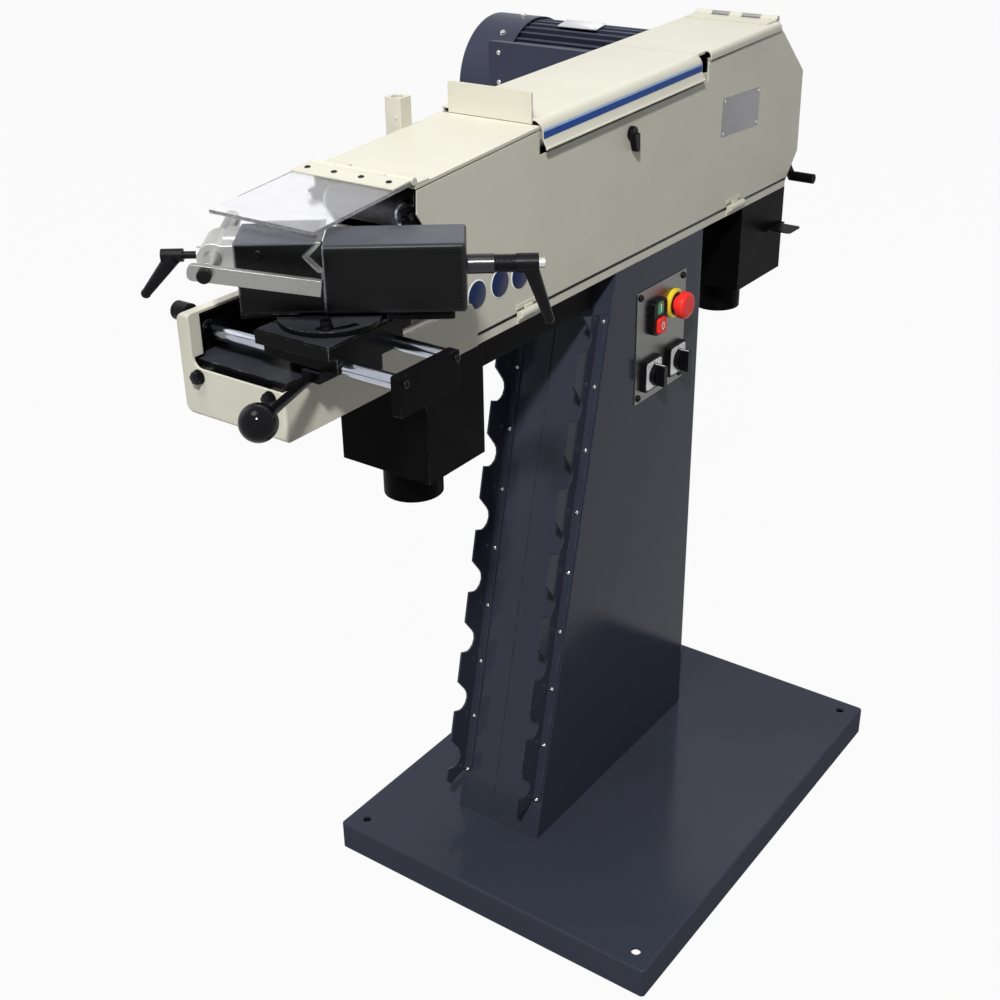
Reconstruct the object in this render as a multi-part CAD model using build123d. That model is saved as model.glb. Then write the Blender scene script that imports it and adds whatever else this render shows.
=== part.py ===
from build123d import *
import math
import os

os.makedirs("parts", exist_ok=True)

# Main sizes in millimetres: X to the right, Y to the rear, Z up, origin on the floor under the base
BASE_X, BASE_Y, BASE_H = 560.0, 758.0, 48.5
BASE_WALL = 4.0
ANCHOR_X, ANCHOR_Y, ANCHOR_R = 500.0, 700.0, 7.0
BODY_L, BODY_R = -151.0, 1.0
SHEET = 2.0
RUN = 0.05

# Column: vertical rear, front leaning back
COLUMN_REAR_Y = 217.0
COLUMN_FRONT_Y = -236.0
COLUMN_LEAN = 0.2318
COLUMN_WALL = 3.0
HEAD_BOTTOM = 918.0

# Hook racks on the sloping front, one notch every pitch
RACK_PITCH = 100.0
RACK_NOTCHES = 8
RACK_REACH = 48.0
RACK_SHEET = 3.0
RACK_FLANGE = 16.0
RACK_LEFT_X, RACK_RIGHT_X = -151.0, -17.0
RACK_TOP_Z = 850.0
RACK_FIRST_TIP = 42.0
SEAM_X, SEAM_WIDTH, SEAM_DEPTH = -87.0, 1.4, 1.2

# Control plate on the right face of the column
PLATE_Y0, PLATE_Y1, PLATE_Z0, PLATE_Z1 = 23.0, 165.0, 695.0, 870.0
PLATE_T = 1.5
PUSH_Y, PUSH_Z, PUSH_HALF_Y, PUSH_HALF_Z = 76.0, 821.5, 18.5, 27.0
START_BUTTON = (13.5, 8.5, 10.0, 0.5)
STOP_BUTTON = (-13.0, 11.0, 12.0, 5.0)
ESTOP_Y, ESTOP_Z = 127.0, 826.0
SELECTOR_Y, SELECTOR_Z, SELECTOR_SIZE = (64.0, 136.0), 735.0, 48.0

# Belt drive: small contact roller in front, drive wheel on the motor shaft behind
BELT_X, BELT_WIDTH, BELT_T = -68.0, 100.0, 1.4
BELT_GAP = 0.3
ROLLER_Y, ROLLER_Z, ROLLER_R, ROLLER_WIDTH = -470.0, 1106.0, 14.0, 108.0
AXLE_R = 5.0
WHEEL_Y, WHEEL_Z, WHEEL_R, WHEEL_WIDTH = 350.0, 1068.0, 95.0, 108.0
SHAFT_R = 14.0

# Head outline on the door side, counted round from the lower front corner
HEAD_FRONT = [(-361.0, 918.0), (-361.0, 960.0), (-466.0, 1107.0), (-466.0, 1136.0)]
HEAD_TOP = [(-222.0, 1153.5), (436.0, 1176.5), (443.0, 1177.0)]
HEAD_REAR = [(529.0, 1099.0), (531.0, 970.0), (493.0, 918.0)]
STRIP_TOP = 931.0
COVER_T = 4.0
LAMP_X, LAMP_Y, LAMP_TOP, LAMP_BORE, LAMP_BOTTOM = -163.5, -293.0, 1188.0, 8.0, 1128.0
COVER_FRONT_TOP, COVER_REAR_TOP = 1140.0, 1157.5
LID_SLOPE = 0.036
LID_FRONT_Y, LID_SEAM_Y, LID_NOTCH_END, LID_REAR_Y = -220.0, 181.0, 208.0, 432.0
LID_LEVEL = 1172.0
LID_BEND, LID_FLARE, LID_LIP = 16.0, 23.0, 35.0
LID_RIGHT, LID_FLARE_X = 4.0, 10.0
LID_REAR_BEND, LID_REAR_LIP = 8.0, 13.0

# Hinge axes
DOOR_AXIS_X, DOOR_AXIS_Z = 7.0, 932.0
DOOR_HINGES_Y = (-254.0, 308.0)
LID_AXIS_Y, LID_AXIS_Z = 438.5, 1190.0
LID_KNUCKLES = ((-148.0, -118.4), (-87.6, -66.4), (-33.6, -6.0))
REST_KNUCKLES = ((-118.0, -88.0), (-66.0, -34.0))
LATCH_Y, LATCH_Z, LATCH_CAM, KEEPER_LOW = -7.0, 1106.0, 1132.0, 1122.0
SHIELD_AXIS_Y, SHIELD_AXIS_Z = -468.0, 1145.0
SHIELD_FRONT_Y, SHIELD_FRONT_TOP, SHIELD_SLOPE, SHIELD_T = -634.0, 1131.0, 0.094, 4.0
SHIELD_REAR_Y = -476.0

# Dust hoppers
FRONT_HOPPER = (-146.0, -6.0, -455.0, -340.0, 763.0)
FRONT_SPIGOT = (-80.0, -397.0, 39.0, 712.0)
DUCT_INLET = (-118.0, -32.0, -300.0, -90.0)
REAR_HOPPER = (-148.0, 0.0, 345.0, 495.0, 780.0)
REAR_SPIGOT = (-75.0, 420.0, 38.5, 722.0)

# Trough and carriage
TROUGH_L, TROUGH_R, TROUGH_FRONT, TROUGH_SHEET = -150.0, 3.0, -700.0, 3.0
TROUGH_REAR, TROUGH_HIGH, TROUGH_LOW = -361.5, 1035.0, 975.0
TROUGH_FOLD, TROUGH_BEND = 11.0, 4.0
POST_WIDTH, LIP_REAR = 21.0, -560.0
KNOB_Y, KNOB_Z, KNOB_R = -677.0, 1026.0, 11.0
GUIDE_X, GUIDE_Z, GUIDE_R = (-122.0, -16.0), 966.0, 9.0
GUIDE_REAR = -404.0
BAR_Y, BAR_Z, BAR_R = (-665.0, -581.0), 1006.0, 8.0
BAR_LEFT, BAR_RIGHT = -146.0, 128.0
SADDLE_Y0, SADDLE_Y1 = -690.0, -556.0
SLIDE_X0, SLIDE_X1, SLIDE_Y0, SLIDE_Y1 = -43.0, 60.0, -688.0, -556.0
SLIDE_BOTTOM, SLIDE_TOP = 1018.0, 1034.0
HOUSING_Y0, HOUSING_Y1, HOUSING_BOTTOM, FOOT_BOTTOM = -676.0, -570.0, 1001.0, 984.5
HANDLE_ROOT, HANDLE_END = (21.2, -676.0, 989.9), (54.8, -788.0, 989.3)

# Vise: local x along the clamp axis, local y along the tube, swivelled about a vertical axis
VISE_ANGLE = 36.5
VISE_ORIGIN = (-8.0, -606.0)
SWIVEL_CENTRE = (5.0, -622.0)
DISC_R, DISC_T, BED_T = 56.0, 6.0, 4.0
SLOT_R, SLOT_HALF = 44.0, 4.4
JAW_Y0, JAW_Y1 = -37.0, 35.0
TUBE_Z = 1108.0
FIXED_JAW = (-92.0, -2.0, 1123.0)
JAW_STEP, JAW_STEP_Z = 10.0, 1078.0
MOVING_JAW = (-1.6, 146.0, 1119.0)
SCREW_Z, THREAD_R = 1085.0, 6.0
STOP_X, STOP_Z, STOP_R, LEVER_Z = -114.0, 1106.0, 9.0, 1103.0
STOP_TILT = 8.8

# Motor on the left side of the head
MOTOR_REAR, COWL_FRONT, MOTOR_FRONT = -398.0, -392.0, -168.0
COWL_END, COWL_R = -480.0, 106.0
FIN_R, FIN_ROOT, FIN_COUNT = 102.5, 92.0, 44


def block(x0, x1, y0, y1, z0, z1):
    """Box between two opposite corners."""
    return Pos((x0 + x1) / 2, (y0 + y1) / 2, (z0 + z1) / 2) * Box(x1 - x0, y1 - y0, z1 - z0)


def rod_x(x0, x1, y, z, r):
    return Pos((x0 + x1) / 2, y, z) * Rot(0, 90, 0) * Cylinder(r, x1 - x0)


def rod_y(x, y0, y1, z, r):
    return Pos(x, (y0 + y1) / 2, z) * Rot(90, 0, 0) * Cylinder(r, y1 - y0)


def rod_z(x, y, z0, z1, r):
    return Pos(x, y, (z0 + z1) / 2) * Cylinder(r, z1 - z0)


def rod_between(start, end, r0, r1):
    """Straight round bar between two points, tapering from r0 to r1."""
    span = Vector(*end) - Vector(*start)
    base = Plane(origin=start, z_dir=span)
    return base * (Pos(0, 0, span.length / 2) * Cone(r0, r1, span.length))


def profile_x(points, x0, x1):
    """Outline of (y, z) points carried along X."""
    face = Plane.YZ.offset(x0) * make_face(Polyline(*points, close=True))
    return extrude(face, x1 - x0, dir=(1, 0, 0))


def profile_y(points, y0, y1):
    """Outline of (x, z) points carried along Y."""
    plane = Plane(origin=(0, y0, 0), x_dir=(1, 0, 0), z_dir=(0, -1, 0))
    return extrude(plane * make_face(Polyline(*points, close=True)), y1 - y0, dir=(0, 1, 0))


def on_vise(shape):
    """Local vise coordinates to the machine."""
    return Pos(*VISE_ORIGIN, 0) * Rot(0, 0, VISE_ANGLE) * shape


def lid_top(y):
    return LID_LEVEL + LID_SLOPE * y


def column_face(s, n):
    """Point (y, z) at distance s down the sloping front and n out from it."""
    length = math.hypot(1.0, COLUMN_LEAN)
    down = (-COLUMN_LEAN / length, -1.0 / length)
    out = (-1.0 / length, COLUMN_LEAN / length)
    y0 = COLUMN_FRONT_Y + COLUMN_LEAN * (RACK_TOP_Z - BASE_H)
    return (y0 + s * down[0] + n * out[0], RACK_TOP_Z + s * down[1] + n * out[1])


# Stand

def base_tray():
    """Folded tray, open below, with four anchor holes."""
    tray = block(-BASE_X / 2, BASE_X / 2, -BASE_Y / 2, BASE_Y / 2, 0, BASE_H)
    tray = fillet(tray.edges().filter_by(Axis.Z), 6)
    tray = fillet(tray.edges().group_by(Axis.Z)[-1], 4)
    inner_x, inner_y = BASE_X / 2 - BASE_WALL, BASE_Y / 2 - BASE_WALL
    tray -= block(-inner_x, inner_x, -inner_y, inner_y, -1, BASE_H - BASE_WALL)
    for x in (-ANCHOR_X / 2, ANCHOR_X / 2):
        for y in (-ANCHOR_Y / 2, ANCHOR_Y / 2):
            tray -= rod_z(x, y, BASE_H - 2 * BASE_WALL, BASE_H + 1, ANCHOR_R)
    return tray


def column():
    """Sheet column: upright rear, front leaning back, open at both ends."""
    lean = COLUMN_LEAN * (HEAD_BOTTOM - BASE_H)
    front, rear, w = COLUMN_FRONT_Y, COLUMN_REAR_Y, COLUMN_WALL
    outer = [(front, BASE_H), (rear, BASE_H), (rear, HEAD_BOTTOM), (front + lean, HEAD_BOTTOM)]
    post = profile_x(outer, BODY_L, BODY_R)
    post = fillet(post.edges().filter_by(Axis.Z), 4)
    inset = w * math.hypot(1.0, COLUMN_LEAN)
    inner = [(front + inset, BASE_H), (rear - w, BASE_H), (rear - w, HEAD_BOTTOM)]
    inner.append((front + lean + inset, HEAD_BOTTOM))
    post -= profile_x(inner, BODY_L + w, BODY_R - w)
    top, foot, deep = -75.0, 780.0, -SEAM_DEPTH
    seam = [column_face(top, 1), column_face(foot, 1), column_face(foot, deep), column_face(top, deep)]
    return post - profile_x(seam, SEAM_X - SEAM_WIDTH / 2, SEAM_X + SEAM_WIDTH / 2)


def rack(x):
    """Edge strip with hooked notches for hanging tools and belts, flange against the column."""
    edge = []
    for i in range(RACK_NOTCHES):
        tip = RACK_FIRST_TIP + RACK_PITCH * i
        edge += [(tip - 50, 0), (tip - 30, 23), (tip - 24, 28), (tip - 15, 30.5), (tip - 6, 28)]
        edge += [(tip, 22), (tip + 2, 16), (tip, 0)]
    points = [column_face(-8, 0)]
    points += [column_face(s, RACK_REACH - d) for s, d in edge]
    end = tip + 14
    points += [column_face(tip + 20, RACK_REACH - 1), column_face(tip + 30, RACK_REACH - 12), column_face(end, 0)]
    strip = profile_x(points, x, x + RACK_SHEET)
    foot = [column_face(-8, 0), column_face(-8, RACK_SHEET)]
    foot += [column_face(end, RACK_SHEET), column_face(end, 0)]
    return strip + profile_x(foot, x + RACK_SHEET - 0.5, x + RACK_FLANGE)


def control_plate():
    plate = block(BODY_R, BODY_R + PLATE_T, PLATE_Y0, PLATE_Y1, PLATE_Z0, PLATE_Z1)
    return fillet(plate.edges().filter_by(Axis.X), 3)


def button_prism(button, x0, x1, grow):
    """Rounded square at a button's place, grown outwards all round."""
    up, half_y, half_z, _ = button
    y, z, half_y, half_z = PUSH_Y, PUSH_Z + up, half_y + grow, half_z + grow
    prism = block(x0, x1, y - half_y, y + half_y, z - half_z, z + half_z)
    return fillet(prism.edges().filter_by(Axis.X), 5 + grow)


def pushbutton_box():
    """Twin push-button body with two wells."""
    x0, half_y, half_z = BODY_R + PLATE_T, PUSH_HALF_Y, PUSH_HALF_Z
    body = block(x0, x0 + 9, PUSH_Y - half_y, PUSH_Y + half_y, PUSH_Z - half_z, PUSH_Z + half_z)
    body = fillet(body.edges().filter_by(Axis.X), 9)
    for button in (START_BUTTON, STOP_BUTTON):
        body -= button_prism(button, x0 + 2, x0 + 12, 0.3)
    return body


def push_button(button):
    x0 = BODY_R + PLATE_T + 4.5
    cap = button_prism(button, x0, x0 + 4.5 + button[3], 0)
    return chamfer(cap.edges().group_by(Axis.X)[-1], 1)


def estop_collar():
    x0 = BODY_R + PLATE_T
    ring = rod_x(x0, x0 + 7, ESTOP_Y, ESTOP_Z, 22.5)
    ring = chamfer(ring.edges().group_by(Axis.X)[-1], 2)
    return ring - rod_x(x0 + 2, x0 + 20, ESTOP_Y, ESTOP_Z, 12.3)


def estop_mushroom():
    """Stem, shoulder and domed head."""
    x0 = BODY_R + PLATE_T
    head = rod_x(x0 + 15, x0 + 28.5, ESTOP_Y, ESTOP_Z, 20.5)
    head = fillet(head.edges().group_by(Axis.X)[-1], 7)
    head += rod_x(x0 + 11.5, x0 + 15, ESTOP_Y, ESTOP_Z, 15.5)
    return head + rod_x(x0 + 6.5, x0 + 11.5, ESTOP_Y, ESTOP_Z, 12)


def selector_bases():
    """Square switch plates, each with a low round collar."""
    group = []
    half, x0 = SELECTOR_SIZE / 2, BODY_R + PLATE_T
    for y in SELECTOR_Y:
        plate = block(x0, x0 + 8, y - half, y + half, SELECTOR_Z - half, SELECTOR_Z + half)
        plate = fillet(plate.edges().filter_by(Axis.X), 3)
        group.append(plate - rod_x(x0 + 3, x0 + 9, y, SELECTOR_Z, 8 + RUN))
    return Compound(children=group)


def selector_knob(y):
    """Round knob with a raised finger bar and a spindle."""
    x0 = BODY_R + PLATE_T + 8.3
    knob = rod_x(x0, x0 + 7, y, SELECTOR_Z, 15)
    knob += block(x0, x0 + 20, y - 4.5, y + 4.5, SELECTOR_Z - 16, SELECTOR_Z + 16)
    return knob + rod_x(x0 - 4.8, x0, y, SELECTOR_Z, 8)


# Head

def head_casing():
    """Folded casing with a keeper for the latch and a lamp socket; open at the right, top and roller."""
    face = make_face(Polyline(*HEAD_FRONT, *HEAD_TOP, *HEAD_REAR, close=True))
    inner = offset(face, -SHEET, kind=Kind.INTERSECTION)
    frame = offset(face, -14, kind=Kind.INTERSECTION)
    right = BODY_R - 2.5
    shell = extrude(Plane.YZ.offset(BODY_L) * face, right - BODY_L, dir=(1, 0, 0))
    shell -= extrude(Plane.YZ.offset(BODY_L + SHEET) * inner, 300, dir=(1, 0, 0))
    rim = extrude(Plane.YZ.offset(right - SHEET) * (face - frame), SHEET, dir=(1, 0, 0))
    shell += rim + block(right - SHEET, right, LATCH_Y - 10, LATCH_Y + 10, KEEPER_LOW, 1150)
    shell += block(right - SHEET, BODY_R, -360, 492, HEAD_BOTTOM, STRIP_TOP)
    shell -= block(BODY_L + SHEET, right - SHEET, LID_FRONT_Y, LID_AXIS_Y - 8, 1120, 1200)
    shell -= block(BODY_L + SHEET, BODY_R, -480, LID_FRONT_Y - 2, 1066, 1136)
    shell -= block(BODY_L + SHEET, right - SHEET, -480, LID_FRONT_Y, 1130, 1160)
    shell -= block(-13, 2, 494, 530, 932, 969)
    shell += block(right - SHEET, right, LID_SEAM_Y - 13, LID_NOTCH_END + 14, 1136, 1158)
    shell -= block(right - SHEET - 1, BODY_R + 1, LID_SEAM_Y + 2, LID_NOTCH_END - 1, 1149.5, 1200)
    shell -= rod_x(BODY_L - 1, BODY_L + 3, WHEEL_Y, WHEEL_Z, 30)
    x0, x1, y0, y1, _ = REAR_HOPPER
    shell -= block(x0 + 8, x1 - 8, y0 + 7, y1 - 7, HEAD_BOTTOM - 1, HEAD_BOTTOM + 3)
    x0, x1, y0, y1, _ = FRONT_HOPPER
    shell -= block(x0 + 6, x1 - 6, -359, y1 - 3, HEAD_BOTTOM - 1, HEAD_BOTTOM + 3)
    x0, x1, y0, y1 = DUCT_INLET
    shell -= block(x0, x1, y0, y1, HEAD_BOTTOM - 1, HEAD_BOTTOM + 3)
    shell += rod_x(BODY_L + SHEET, -4, 480, 985, 5)
    shell += block(LAMP_X - 12.5, BODY_L, LAMP_Y - 10, LAMP_Y + 10, LAMP_BOTTOM - 18, LAMP_TOP)
    shell += block(BODY_L - 1, BODY_L + 1, LAMP_Y - 8, LAMP_Y + 8, LAMP_BOTTOM - 16, LAMP_BOTTOM)
    return shell - rod_z(LAMP_X, LAMP_Y, LAMP_BOTTOM, LAMP_TOP + 1, LAMP_BORE)


def front_cover():
    """Flat cover plate over the front of the belt."""
    points = [(-466, COVER_FRONT_TOP - COVER_T), (-466, COVER_FRONT_TOP)]
    points += [(-222, COVER_REAR_TOP), (-222, COVER_REAR_TOP - COVER_T)]
    return profile_x(points, BODY_L, BODY_R)


def side_plates():
    """Two plates that carry the roller axle in open slots, tied by a cross bar."""
    outline = [(-463, 1134), (-463, 1116), (-480, 1114), (-480, 1097), (-450, 1094), (-374, 990)]
    outline += [(-300, 990), (-300, 1080), (-310, 1134)]
    plates = profile_x(outline, -149, -143) + profile_x(outline, -11, -5)
    plates += block(-144, -10, -375, -350, 1000, 1025)
    plates -= rod_x(-150, 0, ROLLER_Y, ROLLER_Z, AXLE_R)
    slot = block(-150, 0, ROLLER_Y - 20, ROLLER_Y, ROLLER_Z - AXLE_R, ROLLER_Z + AXLE_R)
    return plates - slot


def roller_axle():
    return rod_x(-149, -3, ROLLER_Y, ROLLER_Z, AXLE_R)


def contact_roller():
    half = ROLLER_WIDTH / 2
    body = rod_x(BELT_X - half, BELT_X + half, ROLLER_Y, ROLLER_Z, ROLLER_R)
    return body - rod_x(BELT_X - half - 1, BELT_X + half + 1, ROLLER_Y, ROLLER_Z, AXLE_R + RUN)


def belt_face(grow):
    """Area enclosed by a loop round both wheels, grown outwards from their rims."""
    r1, r2 = ROLLER_R + grow, WHEEL_R + grow
    dy, dz = WHEEL_Y - ROLLER_Y, WHEEL_Z - ROLLER_Z
    span = math.hypot(dy, dz)
    heading = math.atan2(dz, dy)
    lean = math.acos((r1 - r2) / span)

    def at(centre_y, centre_z, r, angle):
        return (centre_y + r * math.cos(angle), centre_z + r * math.sin(angle))

    front_up = at(ROLLER_Y, ROLLER_Z, r1, heading + lean)
    front_mid = at(ROLLER_Y, ROLLER_Z, r1, heading + math.pi)
    front_low = at(ROLLER_Y, ROLLER_Z, r1, heading - lean)
    rear_low = at(WHEEL_Y, WHEEL_Z, r2, heading - lean)
    rear_mid = at(WHEEL_Y, WHEEL_Z, r2, heading)
    rear_up = at(WHEEL_Y, WHEEL_Z, r2, heading + lean)
    loop = [ThreePointArc(front_up, front_mid, front_low), Line(front_low, rear_low)]
    loop += [ThreePointArc(rear_low, rear_mid, rear_up), Line(rear_up, front_up)]
    return make_face(loop)


def abrasive_belt():
    ring = belt_face(BELT_GAP + BELT_T) - belt_face(BELT_GAP)
    return extrude(Plane.YZ.offset(BELT_X - BELT_WIDTH / 2) * ring, BELT_WIDTH, dir=(1, 0, 0))


def platen():
    """Flat table under the upper run, carried from the left wall."""
    rise = math.degrees(math.atan2(WHEEL_Z + WHEEL_R - ROLLER_Z - ROLLER_R, WHEEL_Y - ROLLER_Y))
    middle_y = -10.0
    share = (middle_y - ROLLER_Y) / (WHEEL_Y - ROLLER_Y)
    top = ROLLER_Z + ROLLER_R + share * (WHEEL_Z + WHEEL_R - ROLLER_Z - ROLLER_R)
    table = Pos(-82.5, 0, -5.5) * Box(133, 400, 8)
    table += Pos(-145, 0, -29) * Box(8, 400, 40)
    return Pos(0, middle_y, top) * Rot(rise, 0, 0) * table


def drive_wheel():
    """Wheel with a wide rim, thin web and hub."""
    x0, x1 = BELT_X - WHEEL_WIDTH / 2, BELT_X + WHEEL_WIDTH / 2
    wheel = rod_x(x0, x1, WHEEL_Y, WHEEL_Z, WHEEL_R)
    wheel -= rod_x(x0 + 30, x1 + 1, WHEEL_Y, WHEEL_Z, WHEEL_R - 12)
    wheel -= rod_x(x0 - 1, x0 + 18, WHEEL_Y, WHEEL_Z, WHEEL_R - 12)
    wheel += rod_x(x0, x1 - 14, WHEEL_Y, WHEEL_Z, 28)
    return wheel - rod_x(x0 - 1, x1 + 1, WHEEL_Y, WHEEL_Z, SHAFT_R)


def wheel_bolt():
    """Washer and hex bolt that hold the wheel on the shaft."""
    end = BELT_X + WHEEL_WIDTH / 2 - 14
    washer = rod_x(end, end + 4, WHEEL_Y, WHEEL_Z, 22)
    head = extrude(Plane.YZ.offset(end + 4) * RegularPolygon(9, 6), 7, dir=(1, 0, 0))
    return washer + Pos(0, WHEEL_Y, WHEEL_Z) * head


def motor_housing():
    """Finned stator frame with a bore for the rotor."""
    step = 2 * math.pi / FIN_COUNT
    points = []
    for i in range(FIN_COUNT):
        for share, r in ((0.0, FIN_ROOT), (0.32, FIN_ROOT), (0.36, FIN_R), (0.64, FIN_R), (0.68, FIN_ROOT)):
            a = (i + share) * step
            points.append((WHEEL_Y + r * math.cos(a), WHEEL_Z + r * math.sin(a)))
    frame = profile_x(points, MOTOR_REAR, MOTOR_FRONT)
    return frame - rod_x(MOTOR_REAR - 1, MOTOR_FRONT + 1, WHEEL_Y, WHEEL_Z, 62)


def motor_shields():
    """Front flange against the casing and rear end shield, both with shaft bores."""
    front = rod_x(MOTOR_FRONT, BODY_L, WHEEL_Y, WHEEL_Z, COWL_R)
    rear = rod_x(MOTOR_REAR - 12, MOTOR_REAR, WHEEL_Y, WHEEL_Z, COWL_R - SHEET)
    bore = rod_x(COWL_END, 0, WHEEL_Y, WHEEL_Z, SHAFT_R + RUN)
    return Compound(children=[front - bore, rear - bore])


def fan_cowl():
    """Sheet cowl over the fan with a ring of air slots in its end."""
    cowl = rod_x(COWL_END, COWL_FRONT, WHEEL_Y, WHEEL_Z, COWL_R)
    cowl = fillet(cowl.edges().group_by(Axis.X)[0], 4)
    cowl -= rod_x(COWL_END + SHEET, COWL_FRONT + 1, WHEEL_Y, WHEEL_Z, COWL_R - SHEET)
    for i in range(12):
        slot = Pos(0, 52, 0) * Box(8, 50, 7)
        cowl -= Pos(COWL_END, WHEEL_Y, WHEEL_Z) * Rot(30 * i, 0, 0) * slot
    return cowl


def motor_rotor():
    shaft = rod_x(-470, BELT_X + WHEEL_WIDTH / 2 - 14, WHEEL_Y, WHEEL_Z, SHAFT_R)
    return shaft + rod_x(-375, -195, WHEEL_Y, WHEEL_Z, 61.5)


def motor_fan():
    fan = rod_x(-446, -424, WHEEL_Y, WHEEL_Z, 26)
    fan += rod_x(-428, -424, WHEEL_Y, WHEEL_Z, 84)
    for i in range(8):
        blade = Pos(-435, 54, 0) * Box(18, 60, 3)
        fan += Pos(0, WHEEL_Y, WHEEL_Z) * Rot(45 * i, 0, 0) * blade
    return fan - rod_x(-450, -420, WHEEL_Y, WHEEL_Z, SHAFT_R)


def terminal_box():
    """Connection box on the front of the motor with a thick screwed lid."""
    box = block(-386, -215, 243, 320, 1082, 1146)
    box -= rod_x(-500, -160, WHEEL_Y, WHEEL_Z, FIN_R)
    lid = block(-408, -200, 231, 243, 1074, 1153)
    lid = fillet(lid.edges().filter_by(Axis.Y), 5)
    return Compound(children=[box, lid])


def hopper(box, spigot):
    """Sheet box with a flat bottom and a round hose spigot."""
    x0, x1, y0, y1, z0 = box
    cx, cy, r, low = spigot
    body = block(x0, x1, y0, y1, z0, HEAD_BOTTOM)
    body -= block(x0 + SHEET, x1 - SHEET, y0 + SHEET, y1 - SHEET, z0 + SHEET, HEAD_BOTTOM + 1)
    body += rod_z(cx, cy, low, z0 + SHEET, r)
    return body - rod_z(cx, cy, low - 1, z0 + SHEET + 1, r - SHEET)


def hopper_front():
    """Front hopper with the duct that runs back under the head."""
    x0, x1, y0, y1, z0 = FRONT_HOPPER
    low = HEAD_BOTTOM - 46
    body = hopper(FRONT_HOPPER, FRONT_SPIGOT)
    body += block(x0 + 16, x1 - 14, y1 - 1, -62, low, HEAD_BOTTOM)
    body -= block(x0 + 18, x1 - 16, y1 - 5, -64, low + SHEET, HEAD_BOTTOM - SHEET)
    x0, x1, y0, y1 = DUCT_INLET
    return body - block(x0, x1, y0, y1, HEAD_BOTTOM - 3, HEAD_BOTTOM + 1)


def hopper_rear():
    """Rear hopper with a slot for the damper."""
    x1 = REAR_HOPPER[1]
    return hopper(REAR_HOPPER, REAR_SPIGOT) - block(x1 - 3, x1 + 1, 424, 491, 857.4, 860.6)


def damper_slide():
    """Thin plate that throttles the rear suction, pulled out by its tab."""
    plate = block(-142, 8, 426, 489, 858, 860)
    tab = block(8, 42, 436, 479, 858, 860)
    return plate + fillet(tab.edges().filter_by(Axis.Z).group_by(Axis.X)[-1], 6)


# Doors, lid and shield

def side_door():
    """Door plate with a folded top edge, hinged below."""
    points = [(-360, 933), (-361, 960), (-466, 1107), (-464, 1134.5), (-223.5, 1151.5)]
    points += [(-223.5, 1122), (207, 1137.5), (207, 1163), (443, 1173.5), (529, 1099), (531, 970), (497, 933)]
    door = profile_x(points, -1, BODY_R)
    return door - rod_x(-3, 3, LATCH_Y, LATCH_Z, 5 + RUN)


def latch_knob():
    """Quarter-turn knob with a tapered wing, a spindle through the door and a cam behind it."""
    x0, y, z = BODY_R + 0.3, LATCH_Y, LATCH_Z
    knob = chamfer(rod_x(x0, 8, y, z, 9.5).edges().group_by(Axis.X)[-1], 1)
    wing = profile_x([(y - 7, z), (y + 7, z), (y + 8, z - 25), (y + 1, z - 25)], 3, 12)
    knob += fillet(wing.edges().filter_by(Axis.X).group_by(Axis.Z)[0], 3)
    knob += rod_x(-11, x0, y, z, 5)
    return knob + block(-11, -8, y - 6, y + 6, z - 6, LATCH_CAM)


def hinge_along_y(centre, lower):
    """One half of a butt hinge below the door; the lower half keeps the pin."""
    ax, az = DOOR_AXIS_X, DOOR_AXIS_Z
    if lower:
        leaf = block(BODY_R, 3, centre - 23, centre + 23, 919, 926.5)
        for y0, y1 in ((centre - 23, centre - 8), (centre + 8, centre + 23)):
            leaf += rod_y(ax, y0, y1, az, 5)
            leaf += block(2, 6, y0, y1, 924, 930)
        leaf += rod_y(ax, centre - 23, centre + 23, az, 2)
        return leaf
    leaf = block(BODY_R, 3, centre - 23, centre + 23, 938, 944)
    leaf += rod_y(ax, centre - 7.7, centre + 7.7, az, 5)
    leaf += block(2, 6, centre - 7.7, centre + 7.7, 934, 940)
    return leaf - rod_y(ax, centre - 8, centre + 8, az, 2 + RUN)


def top_lid():
    """Long lid: rounded right edge, upright lip with a flared foot, a seam over the wheel, a grip in front."""
    length = math.hypot(1.0, LID_SLOPE)

    def section(y_from, y_to, bend, edge):
        """Sheet of even thickness along the outline of top, right bend and edge."""
        turn = LID_RIGHT - bend
        outline = Polyline((BODY_L, -9), (BODY_L, 0), (turn, 0)) + CenterArc((turn, -bend), bend, 0, 90)
        outline += Polyline((LID_RIGHT, -bend), *edge)
        start = Plane(origin=(0, y_from, lid_top(y_from)), x_dir=(1, 0, 0), z_dir=(0, -1, -LID_SLOPE))
        sheet = offset(outline, -SHEET, side=Side.RIGHT)
        return extrude(start * make_face(sheet), (y_to - y_from) * length, dir=(0, 1, LID_SLOPE))

    lip = [(LID_RIGHT, -LID_FLARE), (LID_FLARE_X, -LID_LIP)]
    lid = section(LID_FRONT_Y, LID_SEAM_Y, LID_BEND, lip)
    rear = section(LID_SEAM_Y + 2, LID_REAR_Y, LID_REAR_BEND, [(LID_RIGHT, -LID_REAR_LIP)])
    lid += rear - block(-4.2, LID_FLARE_X, LID_SEAM_Y, LID_NOTCH_END, 1100, 1200)
    seam = Pos(-74, LID_SEAM_Y + 1, lid_top(LID_SEAM_Y + 1) - 2.6)
    lid += seam * Rot(math.degrees(math.atan(LID_SLOPE)), 0, 0) * Box(140, 40, 2)
    grip = block(-140, -12, LID_FRONT_Y - 2, LID_FRONT_Y + 0.5, COVER_REAR_TOP + 0.5, 1197)
    return lid + fillet(grip.edges().filter_by(Axis.Y).group_by(Axis.Z)[-1], 3)


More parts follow.
